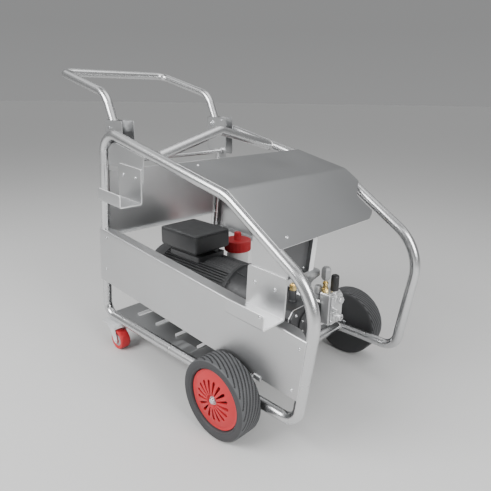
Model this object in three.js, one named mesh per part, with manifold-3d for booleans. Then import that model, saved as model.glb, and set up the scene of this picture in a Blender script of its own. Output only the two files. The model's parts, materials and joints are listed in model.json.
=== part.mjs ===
// Stainless tube-frame cold-water pressure washer for commercial use.
// Millimetres, +Z up, +X towards the pump end, +Y towards the far long side.
// The working coordinates start at the rear bottom bend of the frame; the root
// group then moves the origin to the middle of the footprint on the floor.
import * as THREE from 'three';
import { mergeVertices } from 'three/addons/utils/BufferGeometryUtils.js';
import Module from 'manifold-3d';

const wasm = await Module();
wasm.setup();

// ------------------------------------------------------------ dimensions
const ORIGIN_X = 375.7;        // middle of the overall length
const GAP = 0.3;               // play between touching pieces
const TUBE_R = 17.5;           // frame tube, 35 mm outside
const FRAME_Y = 289.5;         // tube centreline of each side loop
const LOOP_Z = 124.2;          // bottom tube centreline above the floor
const LOOP = [                 // side loop corners [x, z, bend radius]
  [992.2, 124.2, 55], [1040.1, 513.8, 170], [715.9, 725.4, 150],
  [82.9, 868.4, 75], [0, 124.2, 50],
];
const LOOP_SEAM_X = 430;       // butt weld in the bottom tube
const WHEEL_X = 757, WHEEL_R = 130, TYRE_IN = 315, TYRE_W = 80;
const AXLE_R = 8, RIM_R = 97.5;
const CASTER_X = 66, CASTER_Y = 296, CASTER_R = 40, CASTER_W = 42, CASTER_TRAIL = 32;
const HANDLE_R = 16, HANDLE_Y = 248;
const PIVOT = [92, 875];       // handle pivot [x, z]
const HANDLE_BEND = [40, 991], HANDLE_END = [-277, 1070];
const BRACKET = { y0: 223, y1: 271, x0: 58, x1: 176, z0: 764, z1: 901, t: 3 };
const LIFT_X = 380, LIFT_APEX_Z = 871, LIFT_DROP = 76, LIFT_R = 17;
const TRAY = { x0: 28, x1: 728, y: 271, z: 127.5, t: 2 };
const COVER = { x0: 505, x1: 917, y: 298, t: 2, lift: 18.0 };
const HOOK = { length: 138, height: 122, width: 88, lip: 44, t: 5, y: 291.8 };
const MOTOR_Z = 262, MOTOR_R = 127, SHAFT_R = 19;
const PUMP = { x0: 668, x1: 800, y0: -85, y1: 72, z0: 200, z1: 322 };
const HEAD = { x0: 680, x1: 808, y0: 72.4, y1: 150, z0: 222, z1: 318 };
const VALVES = { x0: 800, x1: 846, z0: 233, z1: 352 };   // end block of the head
const REGULATOR = [812, 84], UNLOADER = [834, 108], RELIEF = [784, 84], FILTER = [745, 84], OIL = [738, 0];
const PLUNGER_X = [697, 734, 771];
const BOTTLE = { x: 279, y: 196, r: 47, neck: 44, cap: 58, z0: 130, mouth: 241 };
const TB = { x0: 118, x1: 340, y0: -90, y1: 88, z0: 389.5, z1: 471 };

// ------------------------------------------------------------ materials
const paint = (color, roughness, metalness) => new THREE.MeshStandardMaterial({ color, roughness, metalness });
const STEEL = paint(0xc4c6c9, 0.32, 1.0);
const SHEET = paint(0xb9bbbe, 0.38, 1.0);
const ZINC = paint(0xc9ccd0, 0.35, 0.9);
const RUBBER = paint(0x4a4c50, 0.85, 0.0);
const RED = paint(0xc8282f, 0.45, 0.0);
const BLACK = paint(0x2b2c2e, 0.55, 0.1);
const CASTING = paint(0x303234, 0.6, 0.4);
const SILVER = paint(0xb4b6b8, 0.3, 0.9);
const BRASS = paint(0xb8913f, 0.3, 1.0);
const WHITE = paint(0xe9e9e6, 0.5, 0.0);
const GREY = paint(0x8b8e92, 0.5, 0.2);

// ------------------------------------------------------------ solid helpers
// Position-only, welded geometry with its faces turned outward.
function weld(source) {
  let g = source.index ? source.toNonIndexed() : source.clone();
  for (const key of Object.keys(g.attributes)) if (key !== 'position') g.deleteAttribute(key);
  g.clearGroups();
  g = mergeVertices(g, 1e-3);
  const p = g.attributes.position, idx = g.index.array, keep = [];
  let volume = 0;
  const a = new THREE.Vector3(), b = new THREE.Vector3(), c = new THREE.Vector3();
  for (let i = 0; i < idx.length; i += 3) {
    const [u, v, w] = [idx[i], idx[i + 1], idx[i + 2]];
    if (u === v || v === w || u === w) continue;
    a.fromBufferAttribute(p, u); b.fromBufferAttribute(p, v); c.fromBufferAttribute(p, w);
    volume += a.dot(b.clone().cross(c));
    keep.push(u, v, w);
  }
  if (volume < 0) for (let i = 0; i < keep.length; i += 3) [keep[i + 1], keep[i + 2]] = [keep[i + 2], keep[i + 1]];
  g.setIndex(keep);
  return g;
}
function toSolid(geometry) {
  const g = weld(geometry);
  return new wasm.Manifold(new wasm.Mesh({
    numProp: 3,
    vertProperties: new Float32Array(g.attributes.position.array),
    triVerts: new Uint32Array(g.index.array),
  }));
}
function toGeometry(solid) {
  const m = solid.getMesh(), n = m.numProp, out = new Float32Array((m.vertProperties.length / n) * 3);
  for (let i = 0; i < out.length / 3; i++) for (let k = 0; k < 3; k++) out[i * 3 + k] = m.vertProperties[i * n + k];
  const g = new THREE.BufferGeometry();
  g.setAttribute('position', new THREE.BufferAttribute(out, 3));
  g.setIndex(Array.from(m.triVerts));
  return g;
}
const join = (first, ...rest) => toGeometry(rest.reduce((s, g) => s.add(toSolid(g)), toSolid(first)));
const cut = (first, ...rest) => toGeometry(rest.reduce((s, g) => s.subtract(toSolid(g)), toSolid(first)));
const common = (a, b) => toGeometry(toSolid(a).intersect(toSolid(b)));
const move = (g, x, y, z) => { const h = g.clone(); h.translate(x, y, z); return h; };

// A path that is sampled exactly at its own corners.
class Route extends THREE.Curve {
  constructor(points) { super(); this.points = points; }
  getPoint(t, target = new THREE.Vector3()) {
    const n = this.points.length - 1, i = Math.min(n - 1, Math.floor(t * n + 1e-9)), f = t * n - i;
    return target.copy(this.points[i]).lerp(this.points[i + 1], Math.max(0, f));
  }
  getPointAt(u, target) { return this.getPoint(u, target); }
  getTangent(t, target = new THREE.Vector3()) {
    const n = this.points.length - 1, i = Math.round(t * n);
    const before = this.points[Math.max(0, i - 1)], after = this.points[Math.min(n, i + 1)], here = this.points[i];
    const d1 = here.clone().sub(before), d2 = after.clone().sub(here);
    if (d1.lengthSq() > 0) d1.normalize();
    if (d2.lengthSq() > 0) d2.normalize();
    return target.copy(d1).add(d2).normalize();
  }
  getTangentAt(u, target) { return this.getTangent(u, target); }
}
const V = (x, y, z) => new THREE.Vector3(x, y, z);
// Corners rounded to a bend radius, as a list of points.
function bent(corners, radii, turn = 15) {
  const out = [corners[0].clone()];
  for (let i = 1; i < corners.length - 1; i++) {
    const p = corners[i], a = corners[i - 1].clone().sub(p).normalize(), b = corners[i + 1].clone().sub(p).normalize();
    const angle = Math.PI - a.angleTo(b), r = radii[i - 1];
    if (!r || angle < 1e-3) { out.push(p.clone()); continue; }
    const reach = r * Math.tan(angle / 2);
    const centre = p.clone().add(a.clone().add(b).normalize().multiplyScalar(r / Math.cos(angle / 2)));
    const start = p.clone().addScaledVector(a, reach), end = p.clone().addScaledVector(b, reach);
    const n = Math.max(1, Math.round(THREE.MathUtils.radToDeg(angle) / turn));
    const s = start.clone().sub(centre), e = end.clone().sub(centre), axis = s.clone().cross(e).normalize();
    for (let k = 0; k <= n; k++) out.push(centre.clone().add(s.clone().applyAxisAngle(axis, (angle * k) / n)));
  }
  out.push(corners[corners.length - 1].clone());
  return out;
}
function round(r, sides) {
  const s = new THREE.Shape();
  for (let i = 0; i < sides; i++) {
    const a = (i / sides) * Math.PI * 2, x = r * Math.cos(a), y = r * Math.sin(a);
    if (i) s.lineTo(x, y); else s.moveTo(x, y);
  }
  s.closePath();
  return s;
}
const tube = (points, r, sides = 12) => weld(new THREE.ExtrudeGeometry(round(r, sides), {
  steps: points.length - 1, bevelEnabled: false, curveSegments: 1, extrudePath: new Route(points),
}));
const ring = (u, v, r, sides = 12) => Array.from({ length: sides }, (_, i) => [
  u + r * Math.cos((i / sides) * 2 * Math.PI), v + r * Math.sin((i / sides) * 2 * Math.PI)]);
// Outline pushed along e3 from one depth to another; holes are cut right through.
function prism(points, from, to, e1, e2, e3, holes = []) {
  const push = (outline, a, b) => {
    const shape = new THREE.Shape(outline.map(([u, v]) => new THREE.Vector2(u, v)));
    const g = new THREE.ExtrudeGeometry(shape, { depth: b - a, bevelEnabled: false, steps: 1, curveSegments: 1 });
    g.applyMatrix4(new THREE.Matrix4().makeBasis(e1, e2, e3).setPosition(e3.clone().multiplyScalar(a)));
    return weld(g);
  };
  const body = push(points, from, to);
  return holes.length ? cut(body, ...holes.map((h) => push(h, from - 1, to + 1))) : body;
}
// Flat plates: outline in two axes, spread between two values of the third.
const plateXZ = (pts, y0, y1, holes) => prism(pts, -y1, -y0, V(1, 0, 0), V(0, 0, 1), V(0, -1, 0), holes);
const plateYZ = (pts, x0, x1, holes) => prism(pts, x0, x1, V(0, 1, 0), V(0, 0, 1), V(1, 0, 0), holes);
const plateXY = (pts, z0, z1, holes) => prism(pts, z0, z1, V(1, 0, 0), V(0, 1, 0), V(0, 0, 1), holes);
const block = (x0, x1, y0, y1, z0, z1) => weld(move(new THREE.BoxGeometry(x1 - x0, y1 - y0, z1 - z0), (x0 + x1) / 2, (y0 + y1) / 2, (z0 + z1) / 2));
// Turned pieces: profile [radius, position] along an axis.
function turned(profile, axis, at, segments = 24) {
  const g = new THREE.LatheGeometry(profile.map(([r, h]) => new THREE.Vector2(r, h)), segments);
  if (axis === 'x') g.rotateZ(-Math.PI / 2);
  if (axis === 'z') g.rotateX(Math.PI / 2);
  g.translate(at[0], at[1], at[2]);
  return weld(g);
}
const loopProfile = (p) => [...p, p[0]];
const rod = (axis, r, from, to, at, segments = 12) => turned([[0, from], [r, from], [r, to], [0, to]], axis, at, segments);
const lean = (g, degrees, x, z) => {
  const h = g.clone();
  h.translate(-x, 0, -z); h.rotateY(THREE.MathUtils.degToRad(degrees)); h.translate(x, 0, z);
  return h;
};

// ------------------------------------------------------------ assembly groups
const machine = new THREE.Group();
machine.position.set(-ORIGIN_X, 0, 0);
const groups = {};
for (const key of ['frame', 'sheets', 'handling', 'running_gear', 'motor', 'pump', 'tank', 'electrics']) {
  groups[key] = new THREE.Group();
  machine.add(groups[key]);
}
function add(group, name, geometry, material) {
  const mesh = new THREE.Mesh(weld(geometry), material);
  mesh.name = name;
  groups[group].add(mesh);
  return mesh;
}

// ------------------------------------------------------------ frame
function sideLoop(y) {
  const start = V(LOOP_SEAM_X + 0.15, y, LOOP_Z), end = V(LOOP_SEAM_X - 0.15, y, LOOP_Z);
  const corners = [start, ...LOOP.map(([x, z]) => V(x, y, z)), end];
  const loop = tube(bent(corners, LOOP.map((c) => c[2]), 14), TUBE_R, 12);
  const hole = rod('y', AXLE_R + 0.4, -30, 30, [WHEEL_X, y, WHEEL_R], 12);
  return cut(loop, hole);
}
add('frame', 'side_frame_near', sideLoop(-FRAME_Y), STEEL);
add('frame', 'side_frame_far', sideLoop(FRAME_Y), STEEL);

const crossEnd = FRAME_Y - TUBE_R - GAP;
add('frame', 'axle_tube', turned(loopProfile([[9, -crossEnd], [17, -crossEnd], [17, crossEnd], [9, crossEnd]]), 'y', [WHEEL_X, 0, WHEEL_R], 16), STEEL);

// Lifting bar: two straight halves that meet at a mitre in the middle.
function liftingBar() {
  const slope = LIFT_DROP / FRAME_Y, z = (y) => LIFT_APEX_Z - Math.abs(y) * slope;
  const reach = 300;
  const half = (s) => common(
    tube([V(LIFT_X, -20 * s, LIFT_APEX_Z + 20 * slope), V(LIFT_X, reach * s, z(reach))], LIFT_R, 12),
    block(LIFT_X - 40, LIFT_X + 40, s > 0 ? 0 : -crossEnd, s > 0 ? crossEnd : 0, 700, 960));
  return join(half(-1), half(1));
}
add('frame', 'lifting_bar', liftingBar(), STEEL);
add('frame', 'bracket_tie_rod', rod('y', 7.5, -(BRACKET.y0 - GAP), BRACKET.y0 - GAP, [150, 0, 761], 12), STEEL);

// ------------------------------------------------------------ sheets
function baseTray() {
  const { x0, x1, y, z, t } = TRAY;
  const slots = [126, 249, 372, 495, 618].map((x) => block(x, x + 12, -226, 226, z - 5, z + t + 5));
  return cut(block(x0, x1, -y + 0.5, y - 0.5, z - 18, z + t), block(x0 + t, x1 - t, -y + 2.5, y - 2.5, z - 30, z), ...slots);
}
add('sheets', 'base_tray', baseTray(), SHEET);

// Near side panel: outboard of the uprights, with a flange turned inward along its top.
function nearPanel() {
  const face = plateXZ([[28, 497], [1022, 398], [1002, 211.5], [4, 281]], -FRAME_Y - TUBE_R - GAP - 2, -FRAME_Y - TUBE_R - GAP);
  const flange = plateXZ([[62, 493.6], [1002, 400.0], [1002, 398.0], [62, 491.6]], -FRAME_Y - TUBE_R - GAP - 1, -270);
  return join(face, flange);
}
add('sheets', 'side_panel_near', nearPanel(), SHEET);
function farPanel() {
  const y = FRAME_Y + TUBE_R + GAP;
  const face = plateXZ([[50, 612], [616, 558.3], [606, 346.1], [28, 402]], y, y + 2);
  const flange = plateXZ([[76, 399.4], [600, 348.7], [600, 346.7], [76, 397.4]], 270, y + 1);
  return join(face, flange);
}
add('sheets', 'side_panel_far', farPanel(), SHEET);

// Rear end panel: between the rear uprights, leaning with them.
function rearPanel() {
  const run = (z) => (82.9 * (z - LOOP_Z)) / 744.2, y = FRAME_Y - TUBE_R - 1;
  const pts = [[run(461), 461], [run(461) + 15, 462.6], [run(461) + 15, 464.6], [run(463) + 2, 463.2], [run(718) + 2, 718], [run(718) + 15, 718.6], [run(718) + 15, 720.6], [run(720), 720.4]];
  return plateXZ(pts, -y, y);
}
add('sheets', 'rear_panel', rearPanel(), SHEET);

// Top cover: one sheet folded over the bend of the side loops, far front corner cut off.
function topCover() {
  const B = LOOP[3], C = LOOP[2], D = LOOP[1];
  const dir = (p, q) => { const l = Math.hypot(q[0] - p[0], q[1] - p[1]); return [(q[0] - p[0]) / l, (q[1] - p[1]) / l]; };
  const t1 = dir(B, C), t2 = dir(C, D), n1 = [-t1[1], t1[0]], n2 = [-t2[1], t2[0]];
  const at = (p, t, n, x, off) => { const s = (x - p[0] - n[0] * off) / t[0]; return [x, p[1] + t[1] * s + n[1] * off]; };
  const fold = (off) => {
    const m = [n1[0] + n2[0], n1[1] + n2[1]], l = Math.hypot(...m), k = off / ((m[0] * n1[0] + m[1] * n1[1]) / l);
    return [C[0] + (m[0] / l) * k, C[1] + (m[1] / l) * k];
  };
  const lo = COVER.lift, hi = COVER.lift + COVER.t;
  const sheet = plateXZ([at(B, t1, n1, COVER.x0, lo), fold(lo), at(C, t2, n2, COVER.x1, lo), at(C, t2, n2, COVER.x1, hi), fold(hi), at(B, t1, n1, COVER.x0, hi)], -COVER.y, COVER.y);
  const corner = plateXY([[780, COVER.y + 5], [832, 205], [896, 208], [COVER.x1 + 0.5, 150], [COVER.x1 + 30, 150], [COVER.x1 + 30, COVER.y + 5]], 500, 900);
  return cut(sheet, corner);
}
add('sheets', 'top_cover', topCover(), SHEET);

// ------------------------------------------------------------ handle and its brackets
function bracket(side) {
  const { y0, y1, x0, x1, z0, z1, t } = BRACKET, hole = ring(PIVOT[0], PIVOT[1], 5.4, 10);
  const inner = plateXZ([[x0, z0], [126, z0], [126, 731], [x1, 731], [x1, z1], [x0, z1]], y0, y0 + t, [hole, ring(150, 761, 4, 8)]);
  const outer = plateXZ([[x0, z0 - 16], [x1 - 6, z0 - 16], [x1 - 6, z1], [x0, z1]], y1 - t, y1, [hole]);
  const web = block(x0, x0 + t, y0 + 0.5, y1 - 0.5, z0, z1);
  const g = join(inner, outer, web);
  return side > 0 ? g : mirrorY(g);
}
function mirrorY(g) { const h = g.clone(); h.scale(1, -1, 1); return weld(h); }
add('handling', 'handle_bracket_near', bracket(-1), STEEL);
add('handling', 'handle_bracket_far', bracket(1), STEEL);

function handle() {
  const up = V(HANDLE_BEND[0] - PIVOT[0], 0, HANDLE_BEND[1] - PIVOT[1]).normalize();
  const foot = V(PIVOT[0] - 21 * up.x, 0, PIVOT[1] - 21 * up.z);
  const at = (p, y) => V(p.x ?? p[0], y, p.z ?? p[1]);
  const corners = [at(foot, -HANDLE_Y), at(HANDLE_BEND, -HANDLE_Y), at(HANDLE_END, -HANDLE_Y), at(HANDLE_END, HANDLE_Y), at(HANDLE_BEND, HANDLE_Y), at(foot, HANDLE_Y)];
  const bar = tube(bent(corners, [85, 42, 42, 85], 15), HANDLE_R, 12);
  return cut(bar, rod('y', 5.5, -300, 300, [PIVOT[0], 0, PIVOT[1]], 10));
}
add('handling', 'handle', handle(), STEEL);
for (const [name, s] of [['near', -1], ['far', 1]]) {
  const bolt = join(rod('y', 5, 217, BRACKET.y1 - 0.2, [PIVOT[0], 0, PIVOT[1]], 10), rod('y', 9, 215, BRACKET.y0 - GAP, [PIVOT[0], 0, PIVOT[1]], 6));
  add('handling', `handle_bolt_${name}`, s > 0 ? bolt : mirrorY(bolt), ZINC);
}

// Corner gussets on the near side and the J-shaped hooks bolted to them.
const GUSSET_Y = [-FRAME_Y - 2, -FRAME_Y + 2];
add('handling', 'gusset_rear', plateXZ([[101, 745], [174, 745], [172, 700], [307, 700], [322, 792], [160, 827], [128, 822], [107, 800]], ...GUSSET_Y, [ring(202, 722, 4.2, 8), ring(276, 719, 4.2, 8)]), SHEET);
add('handling', 'gusset_front', plateXZ([[811, 486], [933, 486], [940, 555], [815, 637]], ...GUSSET_Y, [ring(832, 504, 4.2, 8), ring(904, 502, 4.2, 8)]), SHEET);
function hook(x, z, degrees, holes) {
  const { length, height, width, lip, t, y } = HOOK, y0 = -y - t, y1 = -y - width;
  const profile = [[-y, z], [-y, z + height], [y0, z + height], [y0, z + t], [y1 + t, z + t], [y1 + t, z + lip], [y1, z + lip], [y1, z]];
  return cut(lean(plateYZ(profile, x, x + length), degrees, x + length / 2, z), ...holes.map(([u, v]) => rod('y', 4.3, -y - t - 5, -y + 5, [u, 0, v], 8)));
}
add('handling', 'hook_rear', hook(163, 634, 4, [[202, 722], [276, 719]]), SHEET);
add('handling', 'hook_front', hook(798, 424, 3, [[832, 504], [904, 502]]), SHEET);

// ------------------------------------------------------------ running gear
add('running_gear', 'axle', rod('y', AXLE_R, -395, 395, [WHEEL_X, 0, WHEEL_R], 14), ZINC);
function tyre() {
  const p = [[98.3, 30], [98.3, 71], [103, 76.5], [112, 79.5], [124, 79.5], [129, 75], [130, 68], [130, 12], [129, 5], [124, 0.5], [112, 0], [60, 2], [27, 2], [27, 30]];
  return turned(loopProfile(p), 'y', [0, 0, 0], 32);
}
function rim() {
  const p = [[13.6, 4], [20, 4], [20, 71], [60, 67], [88, 60], [88, 31], [RIM_R, 31], [RIM_R, 70], [90, 69], [67, 75], [40, 79], [21, 80], [18, 74], [13.6, 73]];
  const body = turned(loopProfile(p), 'y', [0, 0, 0], 32), slots = [];
  for (let k = 0; k < 17; k++) {
    const s = plateXZ([[22, -1.2], [62, -4.8], [67, 0], [62, 4.8], [22, 1.2]], 50, 85);
    s.rotateY((k / 17) * Math.PI * 2);
    slots.push(s);
  }
  return cut(body, ...slots);
}
const bush = () => turned(loopProfile([[AXLE_R + 0.3, 1], [13.2, 1], [13.2, 74], [AXLE_R + 0.3, 74]]), 'y', [0, 0, 0], 14);
const nut = () => turned([[0, 82.5], [6, 82.5], [10.5, 79.5], [11, 75], [AXLE_R + 0.3, 75], [AXLE_R + 0.3, 80.4], [0, 80.4]], 'y', [0, 0, 0], 12);
for (const [name, s] of [['near', -1], ['far', 1]]) {
  const place = (g) => { const h = move(g, 0, TYRE_IN, 0); return move(s > 0 ? h : mirrorY(h), WHEEL_X, 0, WHEEL_R); };
  add('running_gear', `wheel_tyre_${name}`, place(tyre()), RUBBER);
  add('running_gear', `wheel_rim_${name}`, place(rim()), RED);
  add('running_gear', `wheel_bush_${name}`, place(bush()), ZINC);
  add('running_gear', `hub_nut_${name}`, place(nut()), ZINC);
}

const plateTop = LOOP_Z - TUBE_R - GAP;
function casterPlate() {
  const top = block(-48, 48, -33, 33, plateTop - 3, plateTop);
  const race = turned([[0, 97], [20, 97], [24, 100], [24, plateTop - 2], [0, plateTop - 2]], 'z', [0, 0, 0], 16);
  return join(top, race, rod('z', 5.5, 87, 99, [0, 0, 0], 10));
}
function casterFork() {
  const a = CASTER_TRAIL, z = CASTER_R;
  const crown = cut(plateXY([[-24, -22], [-12, -28], [22, -28], [30, -26], [30, 26], [22, 28], [-12, 28], [-24, 22]], 92, 96.6), rod('z', 6, 80, 110, [0, 0, 0], 10));
  const leg = (y0, y1) => plateXZ([[-16, 95], [27, 95], [a + 11, z + 2], [a + 8, z - 9], [a - 3, z - 12], [a - 11, z - 3]], y0, y1);
  const pin = rod('y', 4, -27, 27, [a, 0, z], 10), inner = CASTER_W / 2 + 2.5;
  return join(crown, leg(-inner - 2.5, -inner), leg(inner, inner + 2.5), pin, rod('y', 7, -inner - 7, -inner - 2, [a, 0, z], 6), rod('y', 7, inner + 2, inner + 7, [a, 0, z], 6));
}
const casterWheel = () => {
  const w = CASTER_W / 2;
  return turned(loopProfile([[4.4, -w], [14, -w], [18, 3 - w], [31, 3 - w], [35, -w], [38.5, 2.5 - w], [40, 6 - w], [40, w - 6], [38.5, w - 2.5], [35, w], [31, w - 3], [18, w - 3], [14, w], [4.4, w]]), 'y', [CASTER_TRAIL, 0, CASTER_R], 24);
};
for (const [name, s] of [['near', -1], ['far', 1]]) {
  const place = (g) => move(g, CASTER_X, s * CASTER_Y, 0);
  add('running_gear', `caster_plate_${name}`, place(casterPlate()), ZINC);
  add('running_gear', `caster_fork_${name}`, place(casterFork()), ZINC);
  add('running_gear', `caster_wheel_${name}`, place(casterWheel()), RED);
}

// ------------------------------------------------------------ motor
const AXIS = [0, 0, MOTOR_Z];
function motorHousing() {
  const fins = 36, pts = [];
  for (let i = 0; i < fins; i++) {
    const a = (i / fins) * 2 * Math.PI, w = (2 * Math.PI) / fins;
    pts.push([113, a - w * 0.32], [113, a - w * 0.14], [MOTOR_R, a - w * 0.1], [MOTOR_R, a + w * 0.1], [113, a + w * 0.14]);
  }
  const outline = pts.map(([r, a]) => [r * Math.cos(a), MOTOR_Z + r * Math.sin(a)]);
  const barrel = plateYZ(outline, 120, 498, [ring(0, MOTOR_Z, 96, 24)]);
  const shield = turned(loopProfile([[SHAFT_R + 0.6, 112], [112, 112], [112, 124], [SHAFT_R + 0.6, 124]]), 'x', AXIS, 24);
  const base = TRAY.z + TRAY.t + GAP;
  const foot = (x) => join(block(x, x + 56, -118, 118, base, base + 13), block(x + 6, x + 50, -96, -66, base + 4, 182), block(x + 6, x + 50, 66, 96, base + 4, 182));
  const seat = block(150, 330, -70, 70, MOTOR_Z + 104, 389.2);
  return join(barrel, shield, foot(150), foot(412), seat);
}
add('motor', 'motor_housing', motorHousing(), BLACK);
function fanCowl() {
  const p = [[24, 40], [108, 40], [117, 44], [121, 60], [121, 119.4], [118.5, 119.4], [118.5, 62], [114, 47], [106, 43], [24, 43]];
  const body = turned(loopProfile(p), 'x', AXIS, 28), slots = [];
  for (let k = 0; k < 10; k++) {
    const s = plateYZ([[34, -5], [96, -13], [96, 13], [34, 5]], 30, 50);
    s.rotateX((k / 10) * Math.PI * 2); s.translate(0, 0, MOTOR_Z);
    slots.push(s);
  }
  return cut(body, ...slots);
}
add('motor', 'fan_cowl', fanCowl(), BLACK);
function coolingFan() {
  const hub = turned(loopProfile([[12.4, 62], [26, 62], [26, 94], [12.4, 94]]), 'x', [0, 0, 0], 16), blades = [];
  for (let k = 0; k < 7; k++) {
    const b = block(66, 92, -1.8, 1.8, 22, 102);
    b.rotateX((k / 7) * Math.PI * 2);
    blades.push(b);
  }
  return move(join(hub, ...blades), 0, 0, MOTOR_Z);
}
add('motor', 'cooling_fan', coolingFan(), BLACK);
add('motor', 'rotor_shaft', turned([[0, 60], [12, 60], [12, 98], [SHAFT_R, 100], [SHAFT_R, 168], [92, 168], [92, 442], [SHAFT_R, 442], [SHAFT_R, 582], [0, 582]], 'x', AXIS, 20), SILVER);
add('motor', 'bell_housing', turned(loopProfile([
  [SHAFT_R + 0.6, 499], [130, 499], [130, 514], [122, 520], [116, 560], [98, 640], [98, 667.4], [84, 667.4], [84, 640], [100, 562], [104, 516], [40, 512], [SHAFT_R + 0.6, 512]]), 'x', AXIS, 28), CASTING);
add('motor', 'shaft_coupling', turned(loopProfile([[SHAFT_R + 0.3, 548], [38, 548], [38, 580], [34, 582], [34, 588], [38, 590], [38, 622], [SHAFT_R + 0.3, 622]]), 'x', AXIS, 18), SILVER);
function terminalBox() {
  const { x0, x1, y0, y1, z0, z1 } = TB;
  const shell = plateXY([[x0 + 6, y0], [x1 - 6, y0], [x1, y0 + 6], [x1, y1 - 6], [x1 - 6, y1], [x0 + 6, y1], [x0, y1 - 6], [x0, y0 + 6]], z0 + 16, z1);
  const neck = block(152, 306, -64, 62, z0, z0 + 20);
  return cut(join(shell, neck), block(x0 + 4, x1 - 4, y0 + 4, y1 - 4, z0 + 20, z1 + 5));
}
add('motor', 'terminal_box', terminalBox(), BLACK);
function terminalLid() {
  const { x0, x1, y0, y1, z1 } = TB, e = 1;
  const low = [[x0 + 6, y0 + e], [x1 - 6, y0 + e], [x1 - e, y0 + 6], [x1 - e, y1 - 6], [x1 - 6, y1 - e], [x0 + 6, y1 - e], [x0 + e, y1 - 6], [x0 + e, y0 + 6]];
  const lower = plateXY(low, z1 + GAP, 477);
  const upper = plateXY([[x0 + 6, y0 + 6], [x1 - 6, y0 + 6], [x1 - 6, y1 - 6], [x0 + 6, y1 - 6]], 476, 482);
  return join(lower, upper);
}
add('motor', 'terminal_box_lid', terminalLid(), BLACK);
add('motor', 'cable_gland', turned(loopProfile([[4, 306.3], [7.4, 306.3], [7.4, 314], [6.6, 316], [5.6, 330], [4, 330]]), 'x', [0, 30, 397.3], 12), GREY);

// ------------------------------------------------------------ pump
function crankcase() {
  const { x0, x1, y0, y1, z0, z1 } = PUMP;
  const shell = plateYZ([[y0 + 14, z0], [y1, z0], [y1, z1 - 10], [y1 - 12, z1], [y0 + 22, z1], [y0, z1 - 26], [y0, z0 + 14]], x0, x1);
  const hollow = block(x0 + 10, x1 - 12, y0 + 12, y1 - 12, z0 + 10, z1 - 12);
  const bores = PLUNGER_X.map((x) => rod('y', 8.4, 40, 80, [x, 0, MOTOR_Z], 12));
  const base = TRAY.z + TRAY.t + GAP;
  const feet = join(block(x0 + 4, x0 + 34, y0 + 6, y1 - 6, 160, z0 + 2), block(x0 + 4, x1 - 20, y0 + 6, y1 - 6, 150, 163));
  const cover = join(rod('x', 44, x1 - 1, x1 + 7, AXIS, 20), rod('x', 24, x1 + 5, x1 + 13, AXIS, 16));
  const filler = rod('z', 14, z1 - 2, z1 + 40, [OIL[0], OIL[1], 0], 12);
  return join(cut(join(shell, filler), hollow, rod('z', 8.4, z1 - 20, z1 + 45, [OIL[0], OIL[1], 0], 10), rod('x', 21, x0 - 5, x0 + 20, AXIS, 16), rod('x', 15.6, x1 - 20, x1 - 2, AXIS, 14), ...bores), feet, cover);
}
add('pump', 'pump_crankcase', crankcase(), CASTING);
function crankshaft() {
  const parts = [rod('x', 15, 586, PUMP.x1 - 3, [0, 0, 0], 14)];
  PLUNGER_X.forEach((x, i) => {
    const a = (i / 3) * 2 * Math.PI;
    parts.push(rod('x', 22, x - 10, x + 10, [0, 8 * Math.cos(a), 8 * Math.sin(a)], 14));
  });
  parts.push(rod('x', SHAFT_R, 586, 640, [0, 0, 0], 14));
  return move(join(...parts), 0, 0, MOTOR_Z);
}
add('pump', 'pump_crankshaft', crankshaft(), SILVER);
function pumpHead() {
  const { x0, x1, y0, y1, z0, z1 } = HEAD;
  const body = plateYZ([[y0, z0 + 8], [y0 + 10, z0], [y1 - 8, z0], [y1, z0 + 10], [y1, z1 - 26], [y1 - 16, z1], [y0 + 6, z1], [y0, z1 - 8]], x0, x1);
  const bores = PLUNGER_X.map((x) => rod('y', 8.4, 60, 138, [x, 0, MOTOR_Z], 12));
  const tops = [708, 764].map((x) => rod('z', 13, z1 - 4, z1 + 15, [x, 116, 0], 6));
  const caps = PLUNGER_X.map((x) => rod('y', 15, y1 - 4, y1 + 10, [x, 0, MOTOR_Z - 12], 6));
  const end = plateYZ([[y0, VALVES.z0 + 6], [y0 + 6, VALVES.z0], [y1 - 10, VALVES.z0], [y1, VALVES.z0 + 12], [y1, VALVES.z1 - 18], [y1 - 14, VALVES.z1], [y0 + 5, VALVES.z1], [y0, VALVES.z1 - 6]], VALVES.x0, VALVES.x1);
  const ports = join(rod('x', 17, VALVES.x1 - 4, VALVES.x1 + 20, [0, 112, 326], 16), rod('x', 21, VALVES.x1 - 4, VALVES.x1 + 16, [0, 108, 264], 16), rod('x', 15, VALVES.x1 + 14, VALVES.x1 + 24, [0, 108, 264], 6));
  const bored = (at, r, top) => rod('z', r, top - 24, top + 5, [at[0], at[1], 0], 12);
  return cut(join(cut(body, ...bores), end, ...tops, ...caps, ports), rod('x', 7, VALVES.x1 + 4, VALVES.x1 + 30, [0, 108, 264], 12), bored(REGULATOR, 9.4, VALVES.z1), bored(UNLOADER, 9.4, VALVES.z1), bored(RELIEF, 6.6, z1), bored(FILTER, 6.6, z1));
}
add('pump', 'pump_head', pumpHead(), SILVER);
PLUNGER_X.forEach((x, i) => add('pump', `plunger_${i + 1}`, rod('y', 8, 40, 122, [x, 0, MOTOR_Z], 12), WHITE));
const oilTop = PUMP.z1 + 40;
add('pump', 'oil_cap', join(rod('z', 8, PUMP.z1 - 14, oilTop + 6, [OIL[0], OIL[1], 0], 10), rod('z', 13, oilTop + GAP, oilTop + 19, [OIL[0], OIL[1], 0], 14), rod('z', 9, oilTop + 18, oilTop + 24, [OIL[0], OIL[1], 0], 6)), BRASS);
const [rx, ry] = REGULATOR, [ux, uy] = UNLOADER;
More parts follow.
